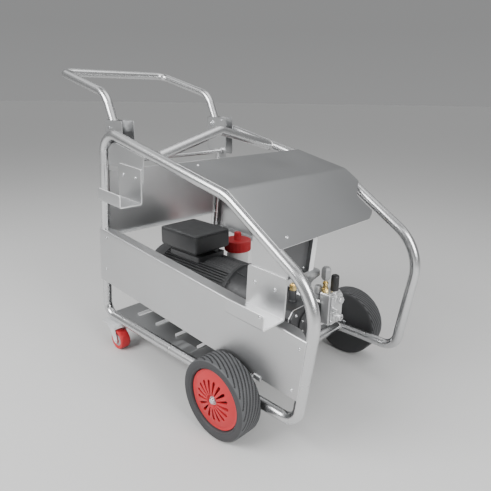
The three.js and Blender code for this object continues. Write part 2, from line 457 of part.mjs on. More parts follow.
add('pump', 'regulator_stem', join(rod('z', 9, VALVES.z1 - 22, VALVES.z1 + 10, [rx, ry, 0], 12), rod('z', 12, VALVES.z1 + GAP, VALVES.z1 + 36, [rx, ry, 0], 6), rod('z', 6, VALVES.z1 + 30, 414, [rx, ry, 0], 12)), BRASS);
add('pump', 'regulator_knob', turned(loopProfile([[7.4, 397], [11, 395], [18, 408], [18, 434], [12, 443], [0.001, 443], [0.001, 418], [7.4, 418]]), 'z', [rx, ry, 0], 6), GREY);
add('pump', 'unloader_body', join(rod('z', 9, VALVES.z1 - 22, VALVES.z1 + 3, [ux, uy, 0], 12), rod('z', 11, VALVES.z1 + GAP, VALVES.z1 + 4, [ux, uy, 0], 6), rod('z', 5, VALVES.z1 + 2, 376, [ux, uy, 0], 10)), SILVER);
add('pump', 'unloader_knob', turned(loopProfile([[6, 357], [14, 357], [14, 408], [11, 413], [0.001, 413], [0.001, 380], [6, 380]]), 'z', [ux, uy, 0], 14), BLACK);
add('pump', 'inlet_filter', turned([[0, HEAD.z1 - 18], [6, HEAD.z1 - 18], [6, HEAD.z1 + GAP], [9, HEAD.z1 + GAP], [9, 372], [12, 376], [34, 398], [36, 401], [36, 410], [33, 414], [0, 414]], 'z', [FILTER[0], FILTER[1], 0], 20), GREY);
add('pump', 'relief_valve', join(rod('z', 6, HEAD.z1 - 18, 345, [RELIEF[0], RELIEF[1], 0], 12), rod('z', 9, HEAD.z1 + GAP, 336, [RELIEF[0], RELIEF[1], 0], 12), rod('z', 15, 338, 368, [RELIEF[0], RELIEF[1], 0], 6)), GREY);

// ------------------------------------------------------------ detergent bottle
function bottleShell() {
  const { r, neck, mouth } = BOTTLE, w = 2.5;
  return turned([[0, 0], [r - 5, 0], [r, 6], [r, 206], [neck, 214], [neck, mouth], [neck - w, mouth], [neck - w, 213], [r - w, 205], [r - w, 7], [r - 6, 3], [0, 3]], 'z', [BOTTLE.x, BOTTLE.y, BOTTLE.z0], 24);
}
add('tank', 'detergent_bottle', bottleShell(), WHITE);
function bottleCap() {
  const top = BOTTLE.z0 + BOTTLE.mouth + 10, { cap, neck } = BOTTLE;
  const skirt = turned([[0, top + 18], [cap - 4, top + 18], [cap, top + 14], [cap, top - 28], [neck + 1, top - 28], [neck + 1, top - 6], [0, top - 6]], 'z', [BOTTLE.x, BOTTLE.y, 0], 24);
  const knob = rod('z', 16, top + 16, top + 50, [BOTTLE.x, BOTTLE.y, 0], 10);
  return join(skirt, knob);
}
add('tank', 'bottle_cap', bottleCap(), RED);

// ------------------------------------------------------------ electrics
function controlBox() {
  const { x0, x1, y0, y1, z0, z1 } = { x0: 745, x1: 830, y0: -192, y1: 0, z0: 456, z1: 600 };
  const rake = 14;             // the open face leans back towards its foot
  const shell = plateXZ([[x0, z0], [x1 - rake, z0], [x1, z1], [x0, z1]], y0, y1);
  const inside = plateXZ([[x0 + 2.5, z0 + 2.5], [x1 - 16 - rake, z0 + 2.5], [x1 - 16, z1 - 2.5], [x0 + 2.5, z1 - 2.5]], y0 + 2.5, y1 - 2.5);
  const recess = plateXZ([[x1 - 14 - rake, z0 + 2.5], [x1 + 5, z0 + 2.5], [x1 + 5, z1 - 2.5], [x1 - 14, z1 - 2.5]], y0 + 2.5, y1 - 25);
  const hanger = [block(x0 + 6, x0 + 9, y0 + 30, y0 + 60, z1 - 1, 655), block(x0 + 6, x0 + 9, y1 - 60, y1 - 30, z1 - 1, 655)];
  return join(cut(shell, inside, recess, rod('y', 7, y0 - 5, y0 + 8, [785, 0, 540], 12)), ...hanger);
}
add('electrics', 'control_box', controlBox(), SHEET);
add('electrics', 'main_switch', join(rod('y', 6, -212, -180, [785, 0, 540], 12), turned([[0, -218], [20, -218], [22, -214], [22, -206], [24, -204], [24, -192.4], [0, -192.4]], 'y', [785, 0, 540], 16), block(779, 791, -232, -216, 516, 564)), BLACK);

export default machine;
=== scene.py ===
# Looks for the stainless tube-frame pressure washer, built on the imported CAD frame.
# Working coordinates are millimetres from the rear bottom bend of the frame; emit()
# moves them into the row frame in metres.
import json
import math

import bmesh
import bpy
import numpy as np
from mathutils import Matrix, Vector

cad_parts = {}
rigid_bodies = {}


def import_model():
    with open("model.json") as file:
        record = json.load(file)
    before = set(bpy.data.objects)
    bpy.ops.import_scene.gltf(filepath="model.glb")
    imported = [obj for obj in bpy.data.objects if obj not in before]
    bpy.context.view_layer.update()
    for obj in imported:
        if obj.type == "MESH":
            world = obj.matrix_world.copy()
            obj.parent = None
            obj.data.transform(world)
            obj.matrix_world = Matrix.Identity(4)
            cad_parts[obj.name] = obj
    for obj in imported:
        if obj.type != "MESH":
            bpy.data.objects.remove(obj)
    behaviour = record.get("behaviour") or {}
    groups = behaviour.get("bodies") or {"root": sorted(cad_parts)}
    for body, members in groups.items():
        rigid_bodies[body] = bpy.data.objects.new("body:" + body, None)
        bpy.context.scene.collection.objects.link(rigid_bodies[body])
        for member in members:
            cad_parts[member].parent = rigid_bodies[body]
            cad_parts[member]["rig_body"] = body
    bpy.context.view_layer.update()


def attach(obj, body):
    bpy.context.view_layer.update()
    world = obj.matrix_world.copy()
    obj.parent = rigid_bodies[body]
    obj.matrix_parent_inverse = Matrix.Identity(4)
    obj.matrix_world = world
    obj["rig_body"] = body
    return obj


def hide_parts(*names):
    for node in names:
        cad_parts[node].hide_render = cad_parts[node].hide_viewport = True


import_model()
OX = 375.7

# ---------------------------------------------------------------- mesh helpers


def vec(x, y, z):
    return np.array([x, y, z], float)


def unit(v):
    v = np.asarray(v, float)
    return v / np.linalg.norm(v)


def bent(corners, radii, step=5.0, closed=False):
    """Corner points rounded to bend radii, as a dense path."""
    pts = [np.asarray(c, float) for c in corners]
    n = len(pts)
    out = []
    for i in range(n):
        r = radii[i]
        if (not closed and i in (0, n - 1)) or not r:
            out.append(pts[i])
            continue
        p, a, b = pts[i], unit(pts[i - 1] - pts[i]), unit(pts[(i + 1) % n] - pts[i])
        turn = math.pi - math.acos(max(-1, min(1, float(a @ b))))
        if turn < 1e-3:
            out.append(p)
            continue
        centre = p + unit(a + b) * (r / math.cos(turn / 2))
        reach = r * math.tan(turn / 2)
        s, e = p + a * reach - centre, p + b * reach - centre
        axis = unit(np.cross(s, e))
        count = max(2, int(round(math.degrees(turn) / step)))
        for k in range(count + 1):
            t = turn * k / count
            out.append(centre + s * math.cos(t) + np.cross(axis, s) * math.sin(t))
    return np.array(out)


def resample(path, spacing):
    """Adds points on long straight runs so that textures and bends stay even."""
    out = [path[0]]
    for a, b in zip(path[:-1], path[1:]):
        n = max(1, int(np.linalg.norm(b - a) // spacing))
        for k in range(1, n + 1):
            out.append(a + (b - a) * k / n)
    return np.array(out)


def sweep(path, radius, sides=32, closed=False):
    path = np.asarray(path, float)
    n = len(path)
    tangents = np.zeros_like(path)
    for i in range(n):
        if closed:
            a, b = path[(i - 1) % n], path[(i + 1) % n]
            d1, d2 = unit(path[i] - a), unit(b - path[i])
        else:
            d1 = unit(path[i] - path[max(i - 1, 0)]) if i else unit(path[1] - path[0])
            d2 = unit(path[min(i + 1, n - 1)] - path[i]) if i < n - 1 else d1
        tangents[i] = unit(d1 + d2)
    ref = vec(0, 1, 0) if abs(tangents[0][1]) < 0.9 else vec(0, 0, 1)
    u = unit(ref - tangents[0] * (ref @ tangents[0]))
    verts, rr = [], np.broadcast_to(np.asarray(radius, float), (n,))
    ang = np.arange(sides) * 2 * math.pi / sides
    for i in range(n):
        u = unit(u - tangents[i] * (u @ tangents[i]))
        w = np.cross(tangents[i], u)
        verts.append(path[i] + rr[i] * (np.outer(np.cos(ang), u) + np.outer(np.sin(ang), w)))
    verts = np.concatenate(verts)
    faces = []
    for i in range(n if closed else n - 1):
        a, b = i * sides, ((i + 1) % n) * sides
        for k in range(sides):
            faces.append((a + k, a + (k + 1) % sides, b + (k + 1) % sides, b + k))
    if not closed:
        faces.append(tuple(range(sides))[::-1])
        faces.append(tuple(range((n - 1) * sides, n * sides)))
    return verts, faces


AXES = {"x": (vec(0, 1, 0), vec(0, 0, 1), vec(1, 0, 0)), "y": (vec(0, 0, 1), vec(1, 0, 0), vec(0, 1, 0)), "z": (vec(1, 0, 0), vec(0, 1, 0), vec(0, 0, 1))}


def revolve(profile, axis="z", at=(0, 0, 0), n=64, ring=False, mod=None, direction=None):
    """Profile [radius, height] turned about an axis; ring=True closes the profile on itself."""
    if direction is None:
        e1, e2, e3 = AXES[axis]
    else:
        e3 = unit(direction)
        e1 = unit(np.cross(e3, vec(0, 0, 1) if abs(e3[2]) < 0.9 else vec(1, 0, 0)))
        e2 = np.cross(e3, e1)
    at = np.asarray(at, float)
    ang = np.arange(n) * 2 * math.pi / n
    verts, rows = [], []
    for k, (r, h) in enumerate(profile):
        if r <= 1e-6 and not ring:
            rows.append([len(verts)])
            verts.append(at + e3 * h)
            continue
        rad = np.full(n, float(r))
        if mod is not None:
            rad = rad + mod(ang, k)
        rows.append(list(range(len(verts), len(verts) + n)))
        verts.extend(at + np.outer(rad * np.cos(ang), e1) + np.outer(rad * np.sin(ang), e2) + e3 * h)
    faces = []
    pairs = list(zip(rows[:-1], rows[1:])) + ([(rows[-1], rows[0])] if ring else [])
    for a, b in pairs:
        for k in range(n):
            j = (k + 1) % n
            if len(a) == 1 and len(b) == 1:
                break
            if len(a) == 1:
                faces.append((a[0], b[j], b[k]))
            elif len(b) == 1:
                faces.append((a[k], a[j], b[0]))
            else:
                faces.append((a[k], a[j], b[j], b[k]))
    if not ring:
        if len(rows[0]) > 1:
            faces.append(tuple(rows[0][::-1]))
        if len(rows[-1]) > 1:
            faces.append(tuple(rows[-1]))
    return np.array(verts), faces


def round_poly(points, radius, seg=4):
    """2-D outline with rounded corners."""
    pts = [np.array([p[0], p[1]], float) for p in points]
    n, out = len(pts), []
    rads = radius if hasattr(radius, "__len__") else [radius] * n
    for i in range(n):
        p, a, b, r = pts[i], pts[i - 1], pts[(i + 1) % n], rads[i]
        da, db = a - p, b - p
        la, lb = np.linalg.norm(da), np.linalg.norm(db)
        da, db = da / la, db / lb
        turn = math.pi - math.acos(max(-1, min(1, float(da @ db))))
        if r <= 0 or turn < 0.02:
            out.append(p)
            continue
        reach = min(r * math.tan(turn / 2), la * 0.48, lb * 0.48)
        r2 = reach / math.tan(turn / 2)
        c = p + (da + db) / np.linalg.norm(da + db) * (r2 / math.cos(turn / 2))
        s, e = p + da * reach - c, p + db * reach - c
        a0, a1 = math.atan2(s[1], s[0]), math.atan2(e[1], e[0])
        d = (a1 - a0 + math.pi) % (2 * math.pi) - math.pi
        for k in range(seg + 1):
            t = a0 + d * k / seg
            out.append(c + r2 * np.array([math.cos(t), math.sin(t)]))
    return np.array(out)


PLANES = {"xz": (0, 2, 1), "yz": (1, 2, 0), "xy": (0, 1, 2)}


def prism(outline, lo, hi, plane="xz"):
    a, b, c = PLANES[plane]
    outline = np.asarray(outline, float)
    n = len(outline)
    verts = np.zeros((2 * n, 3))
    verts[:, a] = np.tile(outline[:, 0], 2)
    verts[:, b] = np.tile(outline[:, 1], 2)
    verts[:n, c], verts[n:, c] = lo, hi
    faces = Faces([tuple(range(n))[::-1], tuple(range(n, 2 * n))])
    faces.rim = 2
    faces += [(i, (i + 1) % n, n + (i + 1) % n, n + i) for i in range(n)]
    return verts, faces


def box(x0, x1, y0, y1, z0, z1):
    return prism([(x0, z0), (x1, z0), (x1, z1), (x0, z1)], y0, y1, "xz")


def grid(points):
    """Rows of points, joined into quads."""
    pts = np.asarray(points, float)
    nu, nv = pts.shape[:2]
    faces = []
    for i in range(nu - 1):
        for j in range(nv - 1):
            a = i * nv + j
            faces.append((a, a + 1, a + nv + 1, a + nv))
    return pts.reshape(-1, 3), faces


class Faces(list):
    """Face list that remembers where its cut edges start."""

    rim = None


def thick(points, normals, t0, t1):
    """A closed shell between two offsets of a grid of points along given normals."""
    pts, nor = np.asarray(points, float), np.asarray(normals, float)
    nu, nv = pts.shape[:2]
    lower, upper = (pts + nor * t0).reshape(-1, 3), (pts + nor * t1).reshape(-1, 3)
    verts, m, faces = np.concatenate([lower, upper]), nu * nv, Faces()
    for i in range(nu - 1):
        for j in range(nv - 1):
            a = i * nv + j
            faces.append((a, a + 1, a + nv + 1, a + nv))
            faces.append((m + a, m + a + nv, m + a + nv + 1, m + a + 1))
    faces.rim = len(faces)
    rim = [j for j in range(nv)] + [i * nv + nv - 1 for i in range(1, nu)]
    rim += [(nu - 1) * nv + j for j in range(nv - 2, -1, -1)] + [i * nv for i in range(nu - 2, 0, -1)]
    for k in range(len(rim)):
        a, b = rim[k], rim[(k + 1) % len(rim)]
        faces.append((a, b, m + b, m + a))
    return verts, faces


def profile_line(points, radii, step=12.0):
    """2-D polyline with bends, and its left-hand normals."""
    p3 = bent([(p[0], p[1], 0) for p in points], radii, step)[:, :2]
    d = np.gradient(p3, axis=0)
    seg = np.diff(p3, axis=0)
    seg /= np.linalg.norm(seg, axis=1)[:, None]
    t = np.vstack([seg[:1], (seg[:-1] + seg[1:]), seg[-1:]])
    t /= np.linalg.norm(t, axis=1)[:, None]
    return p3, np.stack([-t[:, 1], t[:, 0]], 1)


def turned(part, degrees, axis, centre):
    verts, faces = part
    m = Matrix.Rotation(math.radians(degrees), 3, axis if isinstance(axis, str) else Vector(axis))
    c = np.asarray(centre, float)
    return (verts - c) @ np.array(m).T + c, faces


def shifted(part, dx=0, dy=0, dz=0):
    return part[0] + vec(dx, dy, dz), part[1]


def mirrored(part):
    return part[0] * vec(1, -1, 1), part[1]


OBJECTS = {}


def emit(name, parts, body, replaces=(), slot=None, mats=None, bevel=0.0, bevel_seg=2, sharp=38.0, subdiv=0, ids=None, edge=None, paint=None):
    """Joins parts [(verts, faces)] into one object in the row frame."""
    verts, faces, index, off = [], [], [], 0
    for i, (v, f) in enumerate(parts):
        verts.append(np.asarray(v, float))
        faces += [tuple(off + k for k in face) for face in f]
        tag = [(ids[i] if ids else 0)] * len(f)
        # the cut-edge faces of a part take the edge index, the near-white painted highlight
        if edge is not None and getattr(f, "rim", None) is not None:
            tag[f.rim:] = [edge] * (len(f) - f.rim)
        index += tag
        off += len(v)
    co = np.concatenate(verts)
    if paint is not None:
        index = paint(np.array([co[list(f)].mean(axis=0) for f in faces]), index)
    co = (co - vec(OX, 0, 0)) / 1000.0
    mesh = bpy.data.meshes.new(name)
    mesh.from_pydata(co.tolist(), [], faces)
    mesh.polygons.foreach_set("material_index", index)
    bm = bmesh.new()
    bm.from_mesh(mesh)
    bmesh.ops.remove_doubles(bm, verts=bm.verts, dist=2e-6)
    bmesh.ops.recalc_face_normals(bm, faces=bm.faces)
    bm.to_mesh(mesh)
    bm.free()
    mesh.polygons.foreach_set("use_smooth", [True] * len(mesh.polygons))
    mesh.set_sharp_from_angle(angle=math.radians(sharp))
    for m in mats:
        mesh.materials.append(m)
    obj = bpy.data.objects.new(name, mesh)
    bpy.context.scene.collection.objects.link(obj)
    if bevel:
        b = obj.modifiers.new("edge", "BEVEL")
        b.width, b.segments, b.limit_method, b.angle_limit = bevel / 1000.0, bevel_seg, "ANGLE", math.radians(35)
        b.use_clamp_overlap = True
        b.harden_normals = False
    if subdiv:
        s = obj.modifiers.new("smooth", "SUBSURF")
        s.levels = s.render_levels = subdiv
    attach(obj, body)
    if replaces:
        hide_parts(*replaces)
    OBJECTS[name] = obj
    return obj


def carve(name, parts, cutters, **kw):
    """Like emit, with the cutters removed from the joined parts."""
    bevel = kw.pop("bevel", 0)
    obj = emit(name, parts, kw.pop("body"), **kw)
    tool = emit("cutter_tmp", cutters, obj["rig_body"], mats=[])
    mod = obj.modifiers.new("cut", "BOOLEAN")
    mod.operation, mod.solver, mod.object = "DIFFERENCE", "EXACT", tool
    mod.use_self = True
    bpy.context.view_layer.update()
    done = bpy.data.meshes.new_from_object(obj.evaluated_get(bpy.context.evaluated_depsgraph_get()))
    obj.modifiers.clear()
    obj.data = done
    done.name = name
    done.polygons.foreach_set("use_smooth", [True] * len(done.polygons))
    done.set_sharp_from_angle(angle=math.radians(38))
    bpy.data.objects.remove(tool)
    OBJECTS.pop("cutter_tmp", None)
    if bevel:
        b = obj.modifiers.new("edge", "BEVEL")
        b.width, b.segments, b.limit_method, b.angle_limit = bevel / 1000.0, 2, "ANGLE", math.radians(35)
    return obj


# Fasteners, all built along a direction.
def dome_screw(at, direction, r=5.0, h=2.6):
    p = [(0, -0.2), (r * 0.44, -0.2), (r * 0.44, 0.1), (r * 0.44, h * 0.97), (r * 0.55, h), (r * 0.8, h * 0.78), (r * 0.97, h * 0.35), (r, 0), (r, -0.6), (0, -0.6)]
    p = [(0, h * 0.4), (r * 0.42, h * 0.4), (r * 0.46, h * 0.98), (r * 0.6, h), (r * 0.82, h * 0.76), (r * 0.97, h * 0.34), (r, 0), (r, -0.5), (0, -0.5)]
    return revolve(p, at=at, n=24, direction=direction)


def hex_bolt(at, direction, af=13.0, h=5.5, washer=True):
    parts = []
    base = 0.0
    if washer:
        parts.append(revolve([(0, -0.4), (af * 0.86, -0.4), (af * 0.88, 0.3), (af * 0.86, 1.4), (0, 1.4)], at=at, n=28, direction=direction))
        base = 1.4
    r = af / math.sqrt(3)
    parts.append(revolve([(0, base), (r * 0.98, base), (r, base + 0.4), (r, base + h * 0.82), (r * 0.88, base + h), (0, base + h)], at=at, n=6, direction=direction))
    parts.append(revolve([(0, base + h - 0.2), (af * 0.3, base + h - 0.2), (af * 0.3, base + h + 1.6), (af * 0.24, base + h + 2.2), (0, base + h + 2.2)], at=at, n=20, direction=direction))
    return parts


def weld_ring(at, direction, r, bead=2.2, n=72):
    """A rippled fillet bead round a tube end."""
    e3 = unit(direction)
    e1 = unit(np.cross(e3, vec(0, 0, 1) if abs(e3[2]) < 0.9 else vec(1, 0, 0)))
    e2 = np.cross(e3, e1)
    at = np.asarray(at, float)
    verts, faces, m = [], [], 8
    for i in range(n):
        t = 2 * math.pi * i / n
        out = math.cos(t) * e1 + math.sin(t) * e2
        b = bead * (0.88 + 0.16 * math.sin(t * 22))
        for j in range(m):
            s = 2 * math.pi * j / m
            verts.append(at + out * (r + b * math.cos(s)) + e3 * (b * math.sin(s)))
    for i in range(n):
        for j in range(m):
            a, b2 = i * m, ((i + 1) % n) * m
            faces.append((a + j, a + (j + 1) % m, b2 + (j + 1) % m, b2 + j))
    return np.array(verts), faces


# ---------------------------------------------------------------- materials


def material(name, color, rough, metal=0.0, **extra):
    mat = bpy.data.materials.new(name)
    mat.use_nodes = True
    nt = mat.node_tree
    bsdf = nt.nodes["Principled BSDF"]
    bsdf.inputs["Metallic"].default_value = metal
    coords = nt.nodes.new("ShaderNodeTexCoord")

    def noise(scale, detail=4.0, stretch=(1, 1, 1), roughness=0.55):
        mp = nt.nodes.new("ShaderNodeMapping")
        mp.inputs["Scale"].default_value = stretch
        nt.links.new(coords.outputs["Object"], mp.inputs["Vector"])
        nz = nt.nodes.new("ShaderNodeTexNoise")
        nz.inputs["Scale"].default_value = scale
        nz.inputs["Detail"].default_value = detail
        nz.inputs["Roughness"].default_value = roughness
        nt.links.new(mp.outputs["Vector"], nz.inputs["Vector"])
        return nz.outputs["Fac"]

    def remap(value, lo, hi, a=0.3, b=0.7):
        m = nt.nodes.new("ShaderNodeMapRange")
        m.inputs["From Min"].default_value, m.inputs["From Max"].default_value = a, b
        m.inputs["To Min"].default_value, m.inputs["To Max"].default_value = lo, hi
        nt.links.new(value, m.inputs["Value"])
        return m.outputs["Result"]

    def mix(value, c0, c1, a=0.3, b=0.7):
        ramp = nt.nodes.new("ShaderNodeValToRGB")
        ramp.color_ramp.elements[0].position, ramp.color_ramp.elements[1].position = a, b
        ramp.color_ramp.elements[0].color = (*c0, 1)
        ramp.color_ramp.elements[1].color = (*c1, 1)
        nt.links.new(value, ramp.inputs["Fac"])
        return ramp.outputs["Color"]

    def bump(value, strength, distance, previous=None):
        b = nt.nodes.new("ShaderNodeBump")
        b.inputs["Strength"].default_value = strength
        b.inputs["Distance"].default_value = distance
        nt.links.new(value, b.inputs["Height"])
        if previous is not None:
            nt.links.new(previous, b.inputs["Normal"])
        return b.outputs["Normal"]

    tone = extra.get("tone", 0.08)
    c0 = tuple(max(0.0, c * (1 - tone)) for c in color)
    c1 = tuple(min(1.0, c * (1 + tone)) for c in color)
    cloud = noise(extra.get("cloud", 9.0), 5.0, extra.get("cloud_stretch", (1, 1, 1)))
    nt.links.new(mix(cloud, c0, c1), bsdf.inputs["Base Color"])
    spread = extra.get("spread", 0.05)
    fine = noise(extra.get("fine", 260.0), 3.0, extra.get("stretch", (1, 1, 1)))
    nt.links.new(remap(fine if extra.get("fine_rough") else cloud, rough - spread, rough + spread), bsdf.inputs["Roughness"])
    last = bump(fine, extra.get("bump", 0.12), extra.get("depth", 0.0004))
    if extra.get("dents"):
        last = bump(noise(extra["dents"], 2.0), extra.get("dent_strength", 0.25), extra.get("dent_depth", 0.004), last)
    nt.links.new(last, bsdf.inputs["Normal"])
    if extra.get("coat"):
        bsdf.inputs["Coat Weight"].default_value = extra["coat"]
        bsdf.inputs["Coat Roughness"].default_value = extra.get("coat_rough", 0.15)
    if extra.get("sub"):
        bsdf.inputs["Subsurface Weight"].default_value = extra["sub"]
        bsdf.inputs["Subsurface Radius"].default_value = (0.02, 0.02, 0.02)
    if "spec" in extra:
        bsdf.inputs["Specular IOR Level"].default_value = extra["spec"]
    return mat


TUBE = material("satin_tube", (0.66, 0.665, 0.67), 0.27, 1.0, tone=0.02, cloud=7, fine=700, bump=0.02, depth=0.0001, spread=0.02)
SHEET = material("ground_sheet", (0.59, 0.595, 0.60), 0.38, 1.0, tone=0.03, cloud=4, fine=70, stretch=(1.2, 1, 24), bump=0.03, depth=0.0002, spread=0.03, dents=2.2, dent_strength=0.05, dent_depth=0.005)
# darker copy of the sheet steel with cross grain, for the top cover and the control box: painted shade standing in for
# their dark reflections
SHEET_SHADED = material("ground_sheet_cross_painted_shade", (0.36, 0.365, 0.37), 0.38, 1.0, tone=0.03, cloud=4, fine=70, stretch=(16, 1.0, 16), bump=0.03, depth=0.0002, spread=0.03, dents=2.2, dent_strength=0.05, dent_depth=0.005)
# lighter copy of the sheet steel for the rear panel inside the frame: painted light
PANEL_LIT = material("rear_sheet_painted_light", (0.82, 0.825, 0.83), 0.36, 1.0, tone=0.04, cloud=4, fine=70, stretch=(12, 1.0, 16), bump=0.03, depth=0.0002, spread=0.03)
# darker copy of the sheet steel for the base tray under the motor and pump: painted shade
TRAY_SHADED = material("tray_sheet_painted_shade", (0.38, 0.385, 0.39), 0.44, 1.0, tone=0.05, cloud=4, fine=70, stretch=(16, 1.0, 16), bump=0.04, depth=0.0002, spread=0.03)
# near-white, barely metallic copy of the sheet steel for cut edges, tray louvres, the cowl band and the control box
# strip: a painted highlight
EDGE_HIGHLIGHT = material("cut_edge_painted_highlight", (0.88, 0.885, 0.89), 0.40, 0.15, tone=0.03, cloud=30, fine=900, bump=0.03, depth=0.0001, spread=0.03)
BEAD = material("weld_bead", (0.52, 0.515, 0.51), 0.34, 1.0, tone=0.10, cloud=160, fine=900, bump=0.10, depth=0.0002)
ZINC = material("zinc_plate", (0.70, 0.71, 0.72), 0.24, 1.0, tone=0.05, cloud=60, fine=900, bump=0.05, depth=0.0002)
CASTER = material("caster_zinc", (0.72, 0.73, 0.74), 0.36, 0.35, tone=0.05, cloud=60, fine=900, bump=0.05, depth=0.0002)
# lighter copy of the tyre rubber for the tread face: painted light from above and the right
TREAD_LIT = material("tyre_tread_painted_light", (0.076, 0.078, 0.082), 0.60, 0.0, tone=0.08, cloud=14, fine=900, bump=0.10, depth=0.0003, spread=0.05, spec=0.5)
DISC = material("wheel_back", (0.050, 0.051, 0.053), 0.60, 0.0, tone=0.08, cloud=14, fine=900, bump=0.10, depth=0.0003, spread=0.05, spec=0.4)
RUBBER = material("tyre_rubber", (0.050, 0.051, 0.054), 0.62, 0.0, tone=0.08, cloud=14, fine=900, bump=0.12, depth=0.0003, spread=0.05, spec=0.4)
RED = material("red_plastic", (0.56, 0.030, 0.037), 0.44, 0.0, tone=0.03, cloud=20, fine=1200, bump=0.05, depth=0.0002, spread=0.04, spec=0.35)
MOTOR = material("motor_enamel", (0.052, 0.053, 0.055), 0.38, 0.0, tone=0.12, cloud=30, fine=420, bump=0.08, depth=0.0003, spread=0.05)
CAST = material("painted_casting", (0.040, 0.041, 0.043), 0.46, 0.25, tone=0.15, cloud=60, fine=650, bump=0.22, depth=0.0004, spread=0.06)
ALU = material("machined_metal", (0.72, 0.725, 0.73), 0.30, 0.75, tone=0.03, cloud=40, fine=900, bump=0.02, depth=0.0001, spread=0.03)
BRASS = material("brass", (0.86, 0.64, 0.26), 0.26, 1.0, tone=0.06, cloud=90, fine=900, bump=0.05, depth=0.0002)
WHITE = material("white_plastic", (0.86, 0.86, 0.85), 0.44, 0.0, tone=0.03, cloud=20, fine=900, bump=0.06, depth=0.0003, sub=0.12)
GREY = material("grey_plastic", (0.33, 0.335, 0.34), 0.40, 0.0, tone=0.06, cloud=60, fine=1100, bump=0.08, depth=0.0002)
BLACK = material("black_plastic", (0.026, 0.026, 0.027), 0.38, 0.0, tone=0.15, cloud=60, fine=1100, bump=0.10, depth=0.0003)
BOXLID = material("box_cover", (0.082, 0.083, 0.086), 0.36, 0.1, tone=0.06, cloud=12, fine=600, bump=0.06, depth=0.0002, spread=0.04)
# near-black rubber: the terminal box seal, and painted shade in the tyre's tread grooves
SEAL_AND_GROOVE_SHADE = material("seal_rubber_and_groove_shade", (0.008, 0.008, 0.009), 0.62, 0.0, tone=0.2, cloud=60, fine=900, bump=0.1, depth=0.0003)

# ---------------------------------------------------------------- frame tubes
LOOP = [((0, 124.2), 50), ((82.9, 868.4), 75), ((715.9, 725.4), 150), ((1040.1, 513.8), 170), ((992.2, 124.2), 55)]
FY, TR = 289.5, 17.5
for side, s in (("near", -1), ("far", 1)):
    path = bent([(x, s * FY, z) for (x, z), _ in LOOP], [r for _, r in LOOP], 3.0, closed=True)
    path = resample(np.vstack([path, path[:1]]), 60)[:-1]
    parts = [sweep(path, TR, 40, closed=True)]
    # butt weld in the bottom run
    seam = revolve([(TR - 0.6, -2.6), (TR + 0.35, -1.6), (TR + 0.6, 0), (TR + 0.35, 1.6), (TR - 0.6, 2.6)], "x", (430, s * FY, 124.2), 56, mod=lambda t, k: 0.18 * np.sin(t * 16 + k))
    emit(f"loop_{side}", parts + [seam], "chassis", [f"side_frame_{side}"], "frame_tube", [TUBE, BEAD], ids=[0, 1])

CE = FY - TR - 0.3
cross = [revolve([(9, -CE), (16.4, -CE), (17, -CE + 0.6), (17, CE - 0.6), (16.4, CE), (9, CE)], "y", (757, 0, 130), 40, ring=True)]
welds = [weld_ring((757, s * (CE - 0.6), 130), (0, 1, 0), 17.0) for s in (-1, 1)]
emit("axle_tube_visual", cross + welds, "chassis", ["axle_tube"], "frame_tube", [TUBE, BEAD], ids=[0, 1, 1])

slope, LX, LZ = 76.0 / 289.5, 380.0, 871.0
bar_path = bent([(LX, -CE, LZ - slope * CE), (LX, 0, LZ), (LX, CE, LZ - slope * CE)], [0, 30, 0], 3.0)
ends = [weld_ring((LX, s * (CE - 1.0), LZ - slope * (CE - 1.0)), (0, 1, -s * slope), 17.2) for s in (-1, 1)]
emit("lifting_bar_visual", [sweep(bar_path, 17, 36)] + ends, "chassis", ["lifting_bar"], "frame_tube", [TUBE, BEAD], ids=[0, 1, 1])

tie = [revolve([(0, -222.5), (7.0, -222.5), (7.5, -222.0), (7.5, 222.0), (7.0, 222.5), (0, 222.5)], "y", (150, 0, 761), 28)]
for s in (-1, 1):
    tie.append(revolve([(7.5, s * 212), (11.5, s * 212), (12.2, s * 213), (12.2, s * 221.4), (7.5, s * 221.4)], "y", (150, 0, 761), 6, ring=True))
emit("tie_rod_visual", tie, "chassis", ["bracket_tie_rod"], "frame_tube", [TUBE])

# ---------------------------------------------------------------- push handle
HY, HR = 248.0, 16.0
PIV, HB, HE = (92.0, 875.0), (40.0, 991.0), (-277.0, 1070.0)
up = unit((HB[0] - PIV[0], 0, HB[1] - PIV[1]))
foot = (PIV[0] - 21 * up[0], PIV[1] - 21 * up[2])
corners = [(foot[0], -HY, foot[1]), (HB[0], -HY, HB[1]), (HE[0], -HY, HE[1]), (HE[0], HY, HE[1]), (HB[0], HY, HB[1]), (foot[0], HY, foot[1])]
hpath = resample(bent(corners, [0, 85, 42, 42, 85, 0], 4.0), 50)
carve("push_handle", [sweep(hpath, HR, 36)], [revolve([(0, -300), (5.5, -300), (5.5, 300), (0, 300)], "y", (PIV[0], 0, PIV[1]), 24)], body="fold_handle", replaces=["handle"], slot="frame_tube", mats=[TUBE])

# ---------------------------------------------------------------- handle brackets


